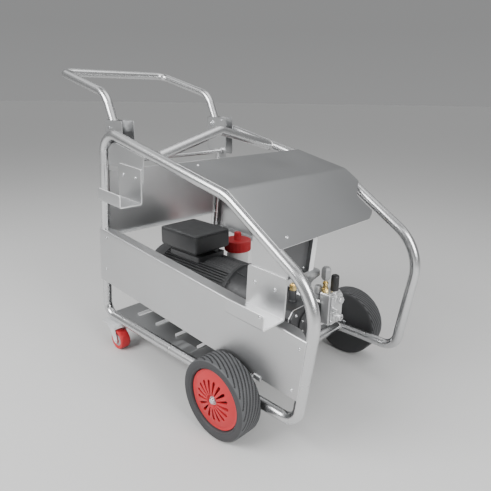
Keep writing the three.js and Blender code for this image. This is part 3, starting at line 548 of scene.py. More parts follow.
def u_bracket():
    y0, y1, x0, x1, z0, z1 = 224.5, 269.5, 59.5, 176.0, 764.0, 901.0
    cols = [(x1 - 0.0, y0), (x1 - 1.5, y0), (x1 - 4, y0), (x1 - 8, y0), (140, y0), (126.05, y0), (126.0, y0), (100, y0)]
    line = bent([(x1, y0, 0), (x0, y0, 0), (x0, y1, 0), (x1 - 6, y1, 0)], [0, 5.5, 5.5, 0], 12)[:, :2]
    arc = [p for p in line[1:-1]]
    pts2 = cols + [(110, y0)][:0] + [tuple(p) for p in arc] + [(100, y1), (150, y1), (x1 - 14, y1), (x1 - 10, y1), (x1 - 7.5, y1), (x1 - 6, y1)]
    pts2 = np.array(pts2)
    seg = np.diff(pts2, axis=0)
    seg /= np.linalg.norm(seg, axis=1)[:, None]
    t = np.vstack([seg[:1], seg[:-1] + seg[1:], seg[-1:]])
    t /= np.linalg.norm(t, axis=1)[:, None]
    nor2 = np.stack([-t[:, 1], t[:, 0]], 1)
    rows, nors = [], []
    for i, (x, y) in enumerate(pts2):
        inner = y < 230 and x > 62
        low = 731.0 if inner and x >= 126.04 else (748.0 if y > 262 else 764.0)
        end = x1 if inner else x1 - 6
        d = max(0.0, 8 - (end - x)) if x > 150 else 0.0
        cut = 8 - math.sqrt(max(0, 64 - d * d)) if d > 0 else 0.0
        col = [vec(x, y, low + cut), vec(x, y, low + cut + 6), vec(x, y, 800), vec(x, y, 850), vec(x, y, z1 - cut - 6), vec(x, y, z1 - cut)]
        rows.append(col)
        nors.append([vec(nor2[i][0], nor2[i][1], 0)] * len(col))
    return thick(rows, nors, -1.5, 1.5)


for side, s in (("near", -1), ("far", 1)):
    b = u_bracket()
    extra = []
    for z in (770, 890):
        extra += [dome_screw((150, 222.9, z), (0, -1, 0), 4.5)]
    welds = [sweep(np.array([vec(66 + 8 * k / 6, 271.5, 790 + 95 * k / 6) for k in range(7)]), 1.8, 8)]
    parts = [b] + extra
    if s < 0:
        parts = [mirrored(p) for p in parts]
    emit(f"bracket_{side}", parts, "chassis", [f"handle_bracket_{side}"], "frame_tube", [SHEET, ZINC], bevel=0.5, ids=[0, 1, 1])
    at = (PIV[0], s * 222.6, PIV[1])
    bolt = [revolve([(0, 223), (5, 223), (5, 274), (4.4, 274.6), (0, 274.6)], "y", (PIV[0], 0, PIV[1]), 24)]
    bolt += [p for p in hex_bolt((PIV[0], 222.8, PIV[1]), (0, -1, 0), 15, 6)]
    if s < 0:
        bolt = [mirrored(p) for p in bolt]
    emit(f"pivot_bolt_{side}", bolt, "chassis", [f"handle_bolt_{side}"], "zinc", [ZINC], bevel=0.3)

# ---------------------------------------------------------------- side panels


def lerp(a, b, t):
    return a + (b - a) * t


def near_panel():
    """Outer face with its top flange folded inward."""
    face_y = -FY - TR - 1.3
    cols, nors = [], []
    for u in np.linspace(0, 1, 41):
        xb, zb = lerp(4, 1002, u), lerp(281, 211.5, u)
        xt, zt = lerp(28, 1022, u), lerp(497, 398, u)
        line, nor = [], []
        for v in np.linspace(0, 1, 10):
            x, z = lerp(xb, xt, v), lerp(zb, zt - 4, v)
            bow = 0.7 * math.sin(math.pi * v) * math.sin(math.pi * u)
            line.append(vec(x, face_y + bow, z))
            nor.append(vec(0, -1, 0))
        for k in range(1, 6):
            a = math.pi / 2 * k / 5
            line.append(vec(xt, face_y + 4 * (1 - math.cos(a)), zt - 4 + 4 * math.sin(a)))
            nor.append(vec(0, -math.cos(a), math.sin(a)))
        depth = 37.5 * min(1.0, u * 24 + 0.05, (1 - u) * 24 + 0.05)
        for d in (0.3, 0.7, 1.0):
            line.append(vec(min(xt, 1022 - 20 * min(1.0, d * max(2, depth - 4) / 12)), face_y + 4 + max(2, depth - 4) * d, zt))
            nor.append(vec(0, 0, 1))
        cols.append(line)
        nors.append(nor)
    return thick(cols, nors, -1.0, 1.0)


screws = [dome_screw((x, -310.0, z), (0, -1, 0), 5.2) for x, z in ((74, 467), (58, 336), (1003, 371), (984, 239))]
tab = prism(round_poly([(846, 214), (872, 212), (872, 226), (846, 228)], 1.5), -312.0, -309.9)
emit("panel_near", [near_panel()] + screws + [tab], "chassis", ["side_panel_near"], "sheet", [SHEET, ZINC, EDGE_HIGHLIGHT], bevel=0.4, ids=[0, 1, 1, 1, 1, 0], edge=2)


def far_panel():
    face_y = FY + TR + 1.3
    cols, nors = [], []
    for u in np.linspace(0, 1, 29):
        xb, zb = lerp(28, 606, u), lerp(402, 346.1, u)
        xt, zt = lerp(50, 616, u), lerp(612, 558.3, u)
        line, nor = [], []
        depth = 37.5 * min(1.0, u * 16 + 0.05, (1 - u) * 16 + 0.05)
        for d in (1.0, 0.6, 0.2):
            line.append(vec(xb, face_y - 4 - max(2, depth - 4) * d, zb))
            nor.append(vec(0, 0, -1))
        for k in range(0, 6):
            a = math.pi / 2 * k / 5
            line.append(vec(xb, face_y - 4 + 4 * math.sin(a), zb + 4 - 4 * math.cos(a)))
            nor.append(vec(0, math.sin(a), -math.cos(a)))
        for v in np.linspace(0.05, 1, 9):
            line.append(vec(lerp(xb, xt, v), face_y, lerp(zb + 4, zt, v)))
            nor.append(vec(0, 1, 0))
        cols.append(line)
        nors.append(nor)
    return thick(cols, nors, -1.0, 1.0)


fscrews = [dome_screw((x, 310.0, z), (0, 1, 0), 5.2) for x, z in ((66, 590), (46, 425), (596, 540), (584, 366))]
emit("panel_far", [far_panel()] + fscrews, "chassis", ["side_panel_far"], "sheet", [SHEET, ZINC, EDGE_HIGHLIGHT], bevel=0.4, ids=[0, 1, 1, 1, 1], edge=2)


def rear_panel():
    run = lambda z: 82.9 * (z - 124.2) / 744.2
    prof, nor = profile_line([(run(461) + 16, 463.8), (run(461), 461), (run(720), 720), (run(720) + 16, 719.6)], [0, 3, 3, 0], 15)
    y = FY - TR - 1
    cols, nors = [], []
    for v in np.linspace(-1, 1, 15):
        cols.append([vec(p[0] + 1.0, v * y, p[1]) for p in prof])
        nors.append([vec(q[0], 0, q[1]) for q in nor])
    return thick(cols, nors, -1.0, 1.0)


rs = []
for s in (-1, 1):
    for z in (500, 690):
        rs.append(dome_screw((82.9 * (z - 124.2) / 744.2 - 0.1, s * 258, z), (-1, 0, 0.11), 5.0))
emit("panel_rear", [rear_panel()] + rs, "chassis", ["rear_panel"], "sheet", [PANEL_LIT, ZINC, EDGE_HIGHLIGHT], bevel=0.4, ids=[0] + [1] * 4, edge=2)

# ---------------------------------------------------------------- top cover
B2, C2, D2 = np.array([82.9, 868.4]), np.array([715.9, 725.4]), np.array([1040.1, 513.8])
t1, t2 = (C2 - B2) / np.linalg.norm(C2 - B2), (D2 - C2) / np.linalg.norm(D2 - C2)
n1, n2 = np.array([-t1[1], t1[0]]), np.array([-t2[1], t2[0]])
nm = (n1 + n2) / np.linalg.norm(n1 + n2)


def top_cover():
    off = 19.0
    fold = C2 + nm * off / (nm @ n1)
    start = fold - t1 * ((fold[0] - 505) / t1[0])
    end = fold + t2 * ((917 - fold[0]) / t2[0])
    prof, nor = profile_line([tuple(start), tuple(fold), tuple(end)], [0, 60, 0], 2)
    pts, nrm = [], []
    for a, b, na, nb in zip(prof[:-1], prof[1:], nor[:-1], nor[1:]):
        n = max(1, int(np.linalg.norm(b - a) // 14))
        for k in range(n):
            pts.append(lerp(a, b, k / n))
            nrm.append(na if k == 0 else (na + nb) / np.linalg.norm(na + nb))
    pts.append(prof[-1])
    nrm.append(nor[-1])
    corner = round_poly([(505, 298), (781, 298), (832, 207), (896, 208), (917, 150), (917, 100)], [0, 6, 14, 3, 8, 0], 4)

    def limit(x):
        lim = 298.0
        for a, b in zip(corner[:-1], corner[1:]):
            if a[0] <= x <= b[0] + 1e-6 and b[0] > a[0]:
                lim = min(lim, lerp(a[1], b[1], (x - a[0]) / (b[0] - a[0])))
        return lim
    cols, nors = [], []
    for p, q in zip(pts, nrm):
        hi = limit(p[0])
        cols.append([vec(p[0], lerp(-298, hi, v), p[1]) for v in np.linspace(0, 1, 25)])
        nors.append([vec(q[0], 0, q[1])] * 25)
    return thick(cols, nors, -1.0, 1.0)


def cover_z(x):
    off = 20.0
    p, t, n = (B2, t1, n1) if x < 720 else (C2, t2, n2)
    s = (x - p[0] - n[0] * off) / t[0]
    return p[1] + t[1] * s + n[1] * off, n


cs = []
for x, y in ((539, -243), (893, -241)):
    z, n = cover_z(x)
    cs.append(dome_screw((x, y, z), (n[0], 0, n[1]), 5.2))
# the cover takes the darker cross-grain sheet copy, painted shade
emit("cover", [top_cover()] + cs, "chassis", ["top_cover"], "sheet", [SHEET_SHADED, ZINC, EDGE_HIGHLIGHT], bevel=0.4, ids=[0] + [1] * 2, edge=2)

# ---------------------------------------------------------------- base tray


def tray():
    slots = [126, 249, 372, 495, 618]
    xs = [28]
    for x in slots:
        xs += [x, x + 12]
    xs.append(728)
    ys = [-270.5, -226, 226, 270.5]
    parts = []
    z0, z1 = 127.5, 129.5
    for i in range(len(xs) - 1):
        for j in range(3):
            if i % 2 == 1 and j == 1:
                continue
            parts.append(box(xs[i], xs[i + 1], ys[j], ys[j + 1], z0, z1))
    deck_v, deck_f, off = [], [], 0
    for v, f in parts:
        deck_v.append(v)
        deck_f += [tuple(off + k for k in g) for g in f]
        off += len(v)
    deck = (np.concatenate(deck_v), deck_f)
    louvres = []
    for x in slots:
        prof, nor = profile_line([(x + 0.4, 127.6), (x + 0.2, 134.0), (x - 0.6, 138.6)], [0, 6, 0], 12)
        cols, nors = [], []
        for y in (-226, -225.6, -225, -120, 0, 120, 225, 225.6, 226):
            drop = 1.2 if abs(y) > 225.8 else (0.5 if abs(y) > 225.3 else 0.0)
            cols.append([vec(p[0], y, p[1] - (drop if p[1] > 136 else 0)) for p in prof])
            nors.append([vec(q[0], 0, q[1]) for q in nor])
        louvres.append(thick(cols, nors, -1.2, 1.2))
    lips = [box(28, 728, s * 270.5 - (0 if s < 0 else 2), s * 270.5 + (2 if s < 0 else 0), 109.5, 129.4) for s in (-1, 1)]
    lips += [box(28, 30, -268.5, 268.5, 109.5, 127.6), box(726, 728, -268.5, 268.5, 109.5, 127.6)]
    return deck, louvres, lips


deck, louvres, lips = tray()
bm = bmesh.new()
# the louvres take the near-white edge material, a painted highlight along their lips
tray_obj = emit("tray", [deck] + louvres + lips, "chassis", ["base_tray"], "sheet", [TRAY_SHADED, EDGE_HIGHLIGHT], ids=[0] + [1] * len(louvres) + [0] * len(lips))
bm.from_mesh(tray_obj.data)
# the deck strips share walls that no one sees: drop them so that it reads as one sheet
seen = {}
for f in bm.faces:
    key = tuple(sorted(v.index for v in f.verts))
    seen.setdefault(key, []).append(f)
gone = [f for fs in seen.values() if len(fs) > 1 for f in fs]
bmesh.ops.delete(bm, geom=gone, context="FACES_ONLY")
bm.to_mesh(tray_obj.data)
bm.free()

# ---------------------------------------------------------------- gussets and hooks


def plate_y(outline, r, y0, y1):
    return prism(round_poly(outline, r, 5), y0, y1, "xz")


g1 = [plate_y([(101, 745), (174, 745), (172, 700), (307, 700), (322, 792), (160, 827), (128, 822), (107, 800)], [2, 2, 3, 6, 4, 2, 2, 2], -FY - 2, -FY + 2)]
g1 += hex_bolt((202, -FY + 2.1, 722), (0, 1, 0), 10, 4.5) + hex_bolt((276, -FY + 2.1, 719), (0, 1, 0), 10, 4.5)
emit("gusset_rear_visual", g1, "chassis", ["gusset_rear"], "sheet", [SHEET, ZINC, EDGE_HIGHLIGHT], bevel=0.4, ids=[0] + [1] * 6, edge=2)
g2 = [plate_y([(811, 486), (933, 486), (940, 555), (815, 637)], [4, 6, 3, 3], -FY - 2, -FY + 2)]
g2 += hex_bolt((832, -FY + 2.1, 504), (0, 1, 0), 10, 4.5) + hex_bolt((904, -FY + 2.1, 502), (0, 1, 0), 10, 4.5)
emit("gusset_front_visual", g2, "chassis", ["gusset_front"], "sheet", [SHEET, ZINC, EDGE_HIGHLIGHT], bevel=0.4, ids=[0] + [1] * 6, edge=2)


def hook(x, z, degrees, bolts):
    yb, yl = -294.3, -377.3
    prof, nor = profile_line([(yb, z + 122), (yb, z + 2.5), (yl, z + 2.5), (yl, z + 44)], [0, 5.5, 5.5, 0], 12)
    first, last = prof[0], prof[-1]
    prof = np.vstack([prof[:1], [(yb, z + 116)], [(yb, z + 90)], [(yb, z + 50)], prof[1:-1], [(yl, z + 38)], prof[-1:]])
    nor = np.vstack([nor[:1], nor[:1], nor[:1], nor[:1], nor[1:-1], nor[-1:], nor[-1:]])
    cols, nors = [], []
    xs = [0, 0.8, 2, 4, 7, 30, 69, 108, 131, 134, 136, 137.2, 138]
    for u in xs:
        d = max(0.0, 7 - min(u, 138 - u))
        cut = 7 - math.sqrt(max(0.0, 49 - d * d))
        line = []
        for k, p in enumerate(prof):
            zz = p[1] - (cut if k == 0 or k == len(prof) - 1 else 0)
            if k == 1:
                zz -= cut * 0.3
            line.append(vec(x + u, p[0], zz))
        cols.append(line)
        nors.append([vec(0, q[0], q[1]) for q in nor])
    body = turned(thick(cols, nors, -2.4, 2.4), degrees, "Y", (x + 69, 0, z))
    parts, ids = [body], [0]
    for u, v in bolts:
        parts.append(dome_screw((u, -296.7, v), (0, -1, 0), 6.4, 3.0))
        ids.append(1)
    return parts, ids


p, i = hook(163, 634, 4, [(202, 722), (276, 719)])
emit("hook_rear_visual", p, "chassis", ["hook_rear"], "sheet", [SHEET, ZINC, EDGE_HIGHLIGHT], bevel=0.4, ids=i, edge=2)
p, i = hook(798, 424, 3, [(832, 504), (904, 502)])
p.append(dome_screw((926, -379.6, 459), (0, -1, 0), 5.6, 2.8))
i.append(1)
emit("hook_front_visual", p, "chassis", ["hook_front"], "sheet", [SHEET, ZINC, EDGE_HIGHLIGHT], bevel=0.4, ids=i, edge=2)

# ---------------------------------------------------------------- wheels


GROOVES, SWEEP, POWER = 24, math.radians(82), 1.08


def groove(t, h):
    """Distance in mm from the nearest tread groove, at angle t and height h."""
    u = np.clip((74.5 - h) / 69.0, 0, 1)
    phase = GROOVES * (t + SWEEP * u ** POWER)
    slope_ = np.sqrt((GROOVES / 130.0) ** 2 + (GROOVES * SWEEP * POWER * u ** (POWER - 1) / 69.0) ** 2)
    wrapped = (phase + math.pi) % (2 * math.pi) - math.pi
    return np.abs(wrapped) / slope_


def tyre_mesh():
    """Swept tread; heights run outward from the inner sidewall, which is a closed disc."""
    prof = [(97.9, 30), (98.0, 50), (98.2, 70.6), (99.0, 74.2), (101.5, 76.6), (104, 77.4), (105.2, 76.7), (107, 77.8), (112, 79.2), (118, 79.5), (122.6, 79.3), (125.2, 78.5), (127.2, 77.0), (128.6, 74.8)]
    prof += [(129.2 if h > 71 or h < 9 else 129.9 - 0.2 * abs(h - 40) / 30, h) for h in np.arange(73.0, 6.5, -1.65)]
    prof += [(128.6, 5.2), (127.2, 3.0), (125.2, 1.5), (122.6, 0.7), (118, 0.4), (112, 0.4), (105, 1.4), (98, 2.2), (60, 2.2), (14.6, 2.2), (14.2, 3.0), (14.2, 29), (14.6, 29.8), (60, 30)]

    def mod(t, k):
        r, h = prof[k]
        if r < 126 or h > 76 or h < 4:
            return np.zeros_like(t)
        return -2.0 * np.clip((2.2 - groove(t, h)) / 0.8, 0, 1)
    return revolve(prof, "y", (0, 0, 0), 540, ring=True, mod=mod)


def tread_paint(side):
    def paint(c, index):
        c = c * vec(1, side, 1)
        h, dx, dz = c[:, 1] - 315, c[:, 0] - 757, c[:, 2] - 130
        r, t = np.hypot(dx, dz), np.arctan2(dx, dz)
        out = np.asarray(index).copy()
        # index 2: tread face, the lighter rubber copy, painted light
        out[(r > 125.6) & (h > 2) & (h < 78)] = 2
        out[(h < 2.6) & (r < 127)] = 3
        # index 1: tread grooves, near-black, painted shade in the recesses
        out[(r > 125) & (h > 3.4) & (h < 76.8) & (groove(t, h) < 2.1)] = 1
        return out.astype(int).tolist()
    return paint


def rim_parts():
    face = [(13.7, 30.2), (19.4, 30.2), (20, 31), (20, 71), (60, 67), (84, 61.4), (88, 56), (88, 34), (90, 31.4), (96.2, 31.4), (96.6, 33), (96.6, 67.4), (96.0, 68.8), (94.6, 69.4), (92.4, 69.0), (90, 68.4), (86, 69.4), (78, 71.8), (67, 74.6), (54, 77.0), (40, 78.8), (30, 79.6), (22.5, 79.8), (20.6, 79.0), (18.6, 75.4), (17.6, 73.6), (13.7, 72.8)]
    body = revolve(face, "y", (0, 0, 0), 136, ring=True)
    cutters = []
    for k in range(17):
        o = round_poly([(22.5, -1.4), (61, -5.0), (66, -3.0), (66, 3.0), (61, 5.0), (22.5, 1.4)], [0.8, 1.5, 2.0, 2.0, 1.5, 0.8], 3)
        cutters.append(turned(prism(o, 50, 80, "xz"), 360 * k / 17, "Y", (0, 0, 0)))
    return [body], cutters


def place_wheel(part, s):
    v, f = part
    v = v + vec(0, 315, 0)
    if s < 0:
        v = v * vec(1, -1, 1)
    return v + vec(757, 0, 130), f


for side, s in (("near", -1), ("far", 1)):
    body = f"wheel_{side}"
    emit(f"tyre_{side}", [place_wheel(tyre_mesh(), s)], body, [f"wheel_tyre_{side}"], "tyre", [RUBBER, SEAL_AND_GROOVE_SHADE, TREAD_LIT, DISC], sharp=50, paint=tread_paint(s))
    a, c = rim_parts()
    carve(f"rim_{side}", [place_wheel(q, s) for q in a], [place_wheel(q, s) for q in c], body=body, replaces=[f"wheel_rim_{side}"], slot="red_plastic", mats=[RED], bevel=0.45)
    bush = revolve([(8.4, 1), (13.2, 1), (13.4, 2), (13.4, 73), (13.0, 74), (8.4, 74)], "y", (0, 0, 0), 40, ring=True)
    emit(f"bush_{side}", [place_wheel(bush, s)], body, [f"wheel_bush_{side}"], "zinc", [ZINC])
    washer = revolve([(8.3, 74.4), (11.0, 74.4), (11.4, 74.8), (11.4, 76), (11.0, 76.4), (8.3, 76.4)], "y", (0, 0, 0), 40, ring=True)
    nut = revolve([(8.1, 76.4), (10.4, 76.4), (10.8, 77.0), (10.8, 79.0), (9.6, 80.2), (8.1, 80.2)], "y", (0, 0, 0), 6, ring=True)
    cap = revolve([(9.4, 78), (9.4, 79.9), (8.6, 81.2), (6.5, 82.0), (3.2, 82.4), (0, 82.5)], "y", (0, 0, 0), 32)
    emit(f"hub_nut_{side}_visual", [place_wheel(q, s) for q in (washer, nut, cap)], "chassis", [f"hub_nut_{side}"], "zinc", [ZINC], bevel=0.3)
emit("axle_visual", [revolve([(0, -392), (7.2, -392), (8, -391), (8, 391), (7.2, 392), (0, 392)], "y", (757, 0, 130), 32)], "chassis", ["axle"], "zinc", [ZINC])

# ---------------------------------------------------------------- casters
PT = 124.2 - TR - 0.3
for side, s in (("near", -1), ("far", 1)):
    at = (66, s * 296, 0)
    plate = prism(round_poly([(-48, -33), (48, -33), (48, 33), (-48, 33)], 6, 5), PT - 3, PT, "xy")
    race = revolve([(0, 97.2), (17, 97.2), (21, 98.2), (24.5, 100.2), (25.5, 101.6), (24.5, PT - 2.6), (0, PT - 2.6)], "z", (0, 0, 0), 40)
    pin = revolve([(0, 86.5), (5, 86.5), (5.5, 87), (5.5, 99), (0, 99)], "z", (0, 0, 0), 24)
    nuts = []
    for dx in (-38, 38):
        for dy in (-24, 24):
            nuts += hex_bolt((dx, dy, PT - 3), (0, 0, -1), 8, 3.6, washer=False)
    parts = [shifted(q, *at) for q in [plate, race, pin] + nuts]
    emit(f"caster_plate_{side}_visual", parts, "chassis", [f"caster_plate_{side}"], "zinc", [CASTER], bevel=0.35)
    a, z = 32, 40
    crown = prism(round_poly([(-24, -22), (-12, -27.5), (22, -27.5), (30, -26), (30, 26), (22, 27.5), (-12, 27.5), (-24, 22)], 4, 4), 93.2, 96.4, "xy")
    legs = [prism(round_poly([(-20, 95.4), (29, 95.4), (a + 13, z + 8), (a + 10, z - 9), (a - 1, z - 13), (a - 11, z - 6), (2, 76)], [2, 3, 12, 10, 10, 12, 22], 6), y0, y1, "xz") for y0, y1 in ((-26.6, -23.8), (23.8, 26.6))]
    cup = revolve([(6.2, 93.4), (22, 93.4), (23.5, 92.2), (23.5, 90.6), (21.5, 89.8), (6.2, 89.8)], "z", (0, 0, 0), 36, ring=True)
    pinb = revolve([(0, -27), (4, -27), (4, 27), (0, 27)], "y", (a, 0, z), 20)
    heads = hex_bolt((a, 26.4, z), (0, 1, 0), 11, 3.0, washer=False) + hex_bolt((a, -26.4, z), (0, -1, 0), 11, 3.0, washer=False)
    parts = [shifted(q, *at) for q in [crown] + legs + [cup, pinb] + heads]
    carve(f"caster_fork_{side}_visual", parts, [shifted(revolve([(0, 84), (6.0, 84), (6.0, 100), (0, 100)], "z", (0, 0, 0), 24), *at)], body=f"caster_swivel_{side}", replaces=[f"caster_fork_{side}"], slot="zinc", mats=[CASTER])
    wheel = revolve([(4.4, -20.4), (12, -20.4), (14, -19.6), (16, -17.8), (29, -17.4), (31, -19.0), (34.5, -20.6), (37.6, -19.6), (39.2, -17.0), (39.9, -13), (40, -8), (40, 8), (39.9, 13), (39.2, 17.0), (37.6, 19.6), (34.5, 20.6), (31, 19.0), (29, 17.4), (16, 17.8), (14, 19.6), (12, 20.4), (4.4, 20.4)], "y", (a, 0, z), 72, ring=True)
    hub = [revolve([(4.6, k * 20.0), (23, k * 18.6), (25.5, k * 17.2), (25.5, k * 16.0), (4.6, k * 16.0)], "y", (a, 0, z), 40, ring=True) for k in (-1, 1)]
    emit(f"caster_wheel_{side}_visual", [shifted(q, *at) for q in [wheel] + hub], f"caster_roller_{side}", [f"caster_wheel_{side}"], "red_plastic", [RED, GREY], ids=[0, 1, 1])

# ---------------------------------------------------------------- motor
MZ = 262.0


def fin_barrel():
    pts, base = [], 114.0
    for k in range(72):
        a = 2 * math.pi * k / 72
        deg = math.degrees(a) % 360
        top = 62 < deg < 118
        foot = 232 < deg < 308
        tip = base + (2 if top else 13 - (4 if foot else 0))
        w = 2 * math.pi / 72
        for f, r in ((-0.36, base), (-0.17, base + 0.6), (-0.13, tip - 0.8), (-0.06, tip), (0.06, tip), (0.13, tip - 0.8), (0.17, base + 0.6)):
            pts.append((r * math.cos(a + f * w), MZ + r * math.sin(a + f * w)))
    return prism(pts, 122, 497, "yz")


def motor_parts():
    parts = [fin_barrel()]
    shield_r = [(19.6, 110), (30, 109), (34, 112), (80, 113), (108, 112), (117, 114), (119, 118), (119, 126), (19.6, 126)]
    parts.append(revolve(shield_r, "x", (0, 0, MZ), 96, ring=True))
    parts.append(revolve([(100, 490), (124, 490), (126, 492), (126, 497.6), (100, 497.6)], "x", (0, 0, MZ), 96, ring=True))
    for x in (150, 412):
        for s in (-1, 1):
            foot = prism(round_poly([(s * 60, 129.9), (s * 118, 129.9), (s * 118, 143), (s * 104, 146), (s * 96, 182), (s * 62, 168)], [1, 3, 4, 8, 3, 1], 4), x + 2, x + 54, "yz")
            parts.append(foot)
            parts += hex_bolt((x + 28, s * 108, 143), (0, 0, 1), 13, 6)
    parts.append(prism(round_poly([(150, -70), (330, -70), (330, 70), (150, 70)], 8, 5), MZ + 106, 389.3, "xy"))
    for k in range(4):
        t = math.radians(45 + 90 * k)
        parts.append(revolve([(0, 486), (9, 486), (9, 498), (0, 498)], "x", (0, 120 * math.cos(t), MZ + 120 * math.sin(t)), 20))
    eye = bent([(300, 0, 388), (300, 0, 392)], [0, 0])
    return parts


mp = motor_parts()
emit("motor_body", mp, "chassis", ["motor_housing"], "motor_paint", [MOTOR], bevel=0.35)

cowl = revolve([(24, 41), (70, 40.2), (104, 41.2), (112, 43.5), (117.5, 48), (120, 55), (121, 64), (121.4, 112), (122.6, 114), (122.6, 119), (119.6, 119.4), (118.8, 112), (118.6, 64), (117, 55), (113, 48.5), (104, 44), (24, 44)], "x", (0, 0, MZ), 96, ring=True)
cuts = []
for ring_r, count in ((36, 12), (50, 18), (64, 24), (78, 30), (92, 36)):
    for k in range(count):
        half = 0.36 * 2 * math.pi / count
        o = []
        for t in np.linspace(-half, half, 5):
            o.append(((ring_r + 4.2) * math.cos(t), (ring_r + 4.2) * math.sin(t)))
        for t in np.linspace(half, -half, 5):
            o.append(((ring_r - 4.2) * math.cos(t), (ring_r - 4.2) * math.sin(t)))
        q = turned(prism(o, 36, 50, "yz"), 360.0 * k / count, "X", (0, 0, 0))
        cuts.append(shifted(q, 0, 0, MZ))
# band: near-white ring on the black cowl's rounded shoulder, a painted highlight
band = revolve([(112, 41.6), (117.6, 44.6), (120.4, 49.6), (121.0, 53), (119.4, 53), (116.4, 48.4), (112, 45.0)], "x", (0, 0, MZ), 96, ring=True)
carve("fan_cowl_visual", [cowl], cuts, body="chassis", replaces=["fan_cowl"], slot="motor_paint", mats=[MOTOR])
emit("cowl_rim_painted_highlight", [band], "chassis", [], "motor_paint", [EDGE_HIGHLIGHT])

fan = [revolve([(12.4, 62), (24, 62), (27, 66), (27, 92), (24, 94), (12.4, 94)], "x", (0, 0, 0), 40, ring=True), revolve([(26, 90), (88, 92), (88, 94), (26, 92.5)], "x", (0, 0, 0), 48, ring=True)]
for k in range(9):
    pts, nor = [], []
    for r in np.linspace(24, 100, 9):
        tw = 0.0016 * (r - 24) ** 1.4
        pts.append([vec(x, r * math.sin(tw), r * math.cos(tw)) for x in (68, 76, 84, 91)])
        nor.append([vec(0, math.cos(tw), -math.sin(tw))] * 4)
    fan.append(turned(thick(pts, nor, -1.2, 1.2), 40.0 * k, "X", (0, 0, 0)))
emit("fan_visual", [shifted(q, 0, 0, MZ) for q in fan], "drive_line", ["cooling_fan"], "motor_paint", [BLACK])
shaft = revolve([(0, 60), (11, 60), (12, 61), (12, 98), (18.4, 99), (19, 100), (19, 168), (91, 168), (92, 169), (92, 441), (91, 442), (19, 442), (19, 580.6), (18, 582), (0, 582)], "x", (0, 0, MZ), 64)
emit("rotor_visual", [shaft], "drive_line", ["rotor_shaft"], "bright_metal", [ALU])

bell = revolve([(19.7, 499), (128, 499), (130, 501), (130, 512), (127, 514.5), (122, 520), (116, 560), (99, 640), (98, 644), (98, 666), (97, 667.4), (84, 667.4), (84, 640), (100, 562), (104, 516), (40, 512), (19.7, 512)], "x", (0, 0, MZ), 96, ring=True)
bell_parts = [bell]
for k in range(8):
    t = math.radians(22.5 + 45 * k)
    c, sn = math.cos(t), math.sin(t)
    rib = prism([(118.0, 516), (128, 516), (112, 600), (100, 652), (96, 640)], -2.2, 2.2, "xz")
    v = np.stack([rib[0][:, 2], rib[0][:, 0] * c - rib[0][:, 1] * sn, rib[0][:, 0] * sn + rib[0][:, 1] * c], 1)
    bell_parts.append((v + vec(0, 0, MZ), rib[1]))
    b = math.radians(45 * k)
    bell_parts += hex_bolt((514, 123.0 * math.cos(b) * 0.99, MZ + 123.0 * math.sin(b) * 0.99), (1, 0, 0), 9, 4.5, washer=False)
emit("bell_visual", bell_parts, "chassis", ["bell_housing"], "dark_casting", [CAST], bevel=0.5)
coup = revolve([(19.4, 548), (37, 548), (38, 549), (38, 579), (36.5, 581), (34, 582), (34, 588), (36.5, 589), (38, 591), (38, 621), (37, 622), (19.4, 622)], "x", (0, 0, MZ), 64, ring=True)
emit("coupling_visual", [coup], "drive_line", ["shaft_coupling"], "bright_metal", [ALU])

# Terminal box: lower case, lid with a chamfered top, seal, corner screws.
tbx = (118, 340, -90, 88)


def rect(x0, x1, y0, y1, e=0.0):
    return [(x0 + e, y0 + e), (x1 - e, y0 + e), (x1 - e, y1 - e), (x0 + e, y1 - e)]


def tub(levels, r, seg=6):
    """Stacked rounded rectangles [(x0,x1,y0,y1,z)], closed top and bottom."""
    rows = []
    for k, (x0, x1, y0, y1, z) in enumerate(levels):
        o = round_poly(rect(x0, x1, y0, y1), r if not hasattr(r, "__len__") else r[k], seg)
        rows.append(np.column_stack([o, np.full(len(o), z)]))
    n = len(rows[0])
    verts = np.concatenate(rows)
    faces = [tuple(range(n))[::-1], tuple(range((len(rows) - 1) * n, len(rows) * n))]
    for i in range(len(rows) - 1):
        for k in range(n):
            j = (k + 1) % n
            faces.append((i * n + k, i * n + j, (i + 1) * n + j, (i + 1) * n + k))
    return verts, faces


lower = tub([(152, 306, -64, 62, 389.8), (152, 306, -64, 62, 403), (124, 334, -84, 82, 406.5), (119, 339, -89, 87, 411), (118, 340, -90, 88, 418), (118, 340, -90, 88, 469.6), (119.0, 339.0, -89.0, 87.0, 470.8)], [8, 8, 10, 10, 9, 9, 8])
seal = tub([(120.5, 337.5, -87.5, 85.5, 470.4), (120.5, 337.5, -87.5, 85.5, 471.6)], 8)
emit("terminal_case", [lower, seal], "chassis", ["terminal_box"], "motor_paint", [MOTOR, SEAL_AND_GROOVE_SHADE], bevel=0.5, ids=[0, 1])
lid = tub([(119.5, 338.5, -88.5, 86.5, 471.5), (118.4, 339.6, -89.6, 87.6, 472.4), (118.4, 339.6, -89.6, 87.6, 476.6), (119.2, 338.8, -88.8, 86.8, 478.2), (122.6, 335.4, -85.4, 83.4, 480.9), (124.4, 333.6, -83.6, 81.6, 481.7), (128, 330, -80, 78, 481.9)], [8, 9, 9, 9, 8, 7, 5])
lid_screws = [dome_screw((x, y, 481.2), (0.0, 0, 1), 4.0, 0.9) for x in (134, 324) for y in (-74, 72)]
emit("terminal_lid", [lid] + lid_screws, "chassis", ["terminal_box_lid"], "motor_paint", [MOTOR, BLACK], bevel=0.5, ids=[0] + [1] * 4)
gland = [revolve([(4.2, 306.4), (7.2, 306.4), (7.4, 307), (7.4, 313.2), (7.0, 314), (4.2, 314)], "x", (0, 30, 397.3), 6, ring=True), revolve([(4.2, 313.8), (6.6, 314), (6.6, 322), (5.6, 329), (4.2, 330)], "x", (0, 30, 397.3), 24, ring=True)]
emit("gland_visual", gland, "chassis", ["cable_gland"], "grey_plastic", [GREY])

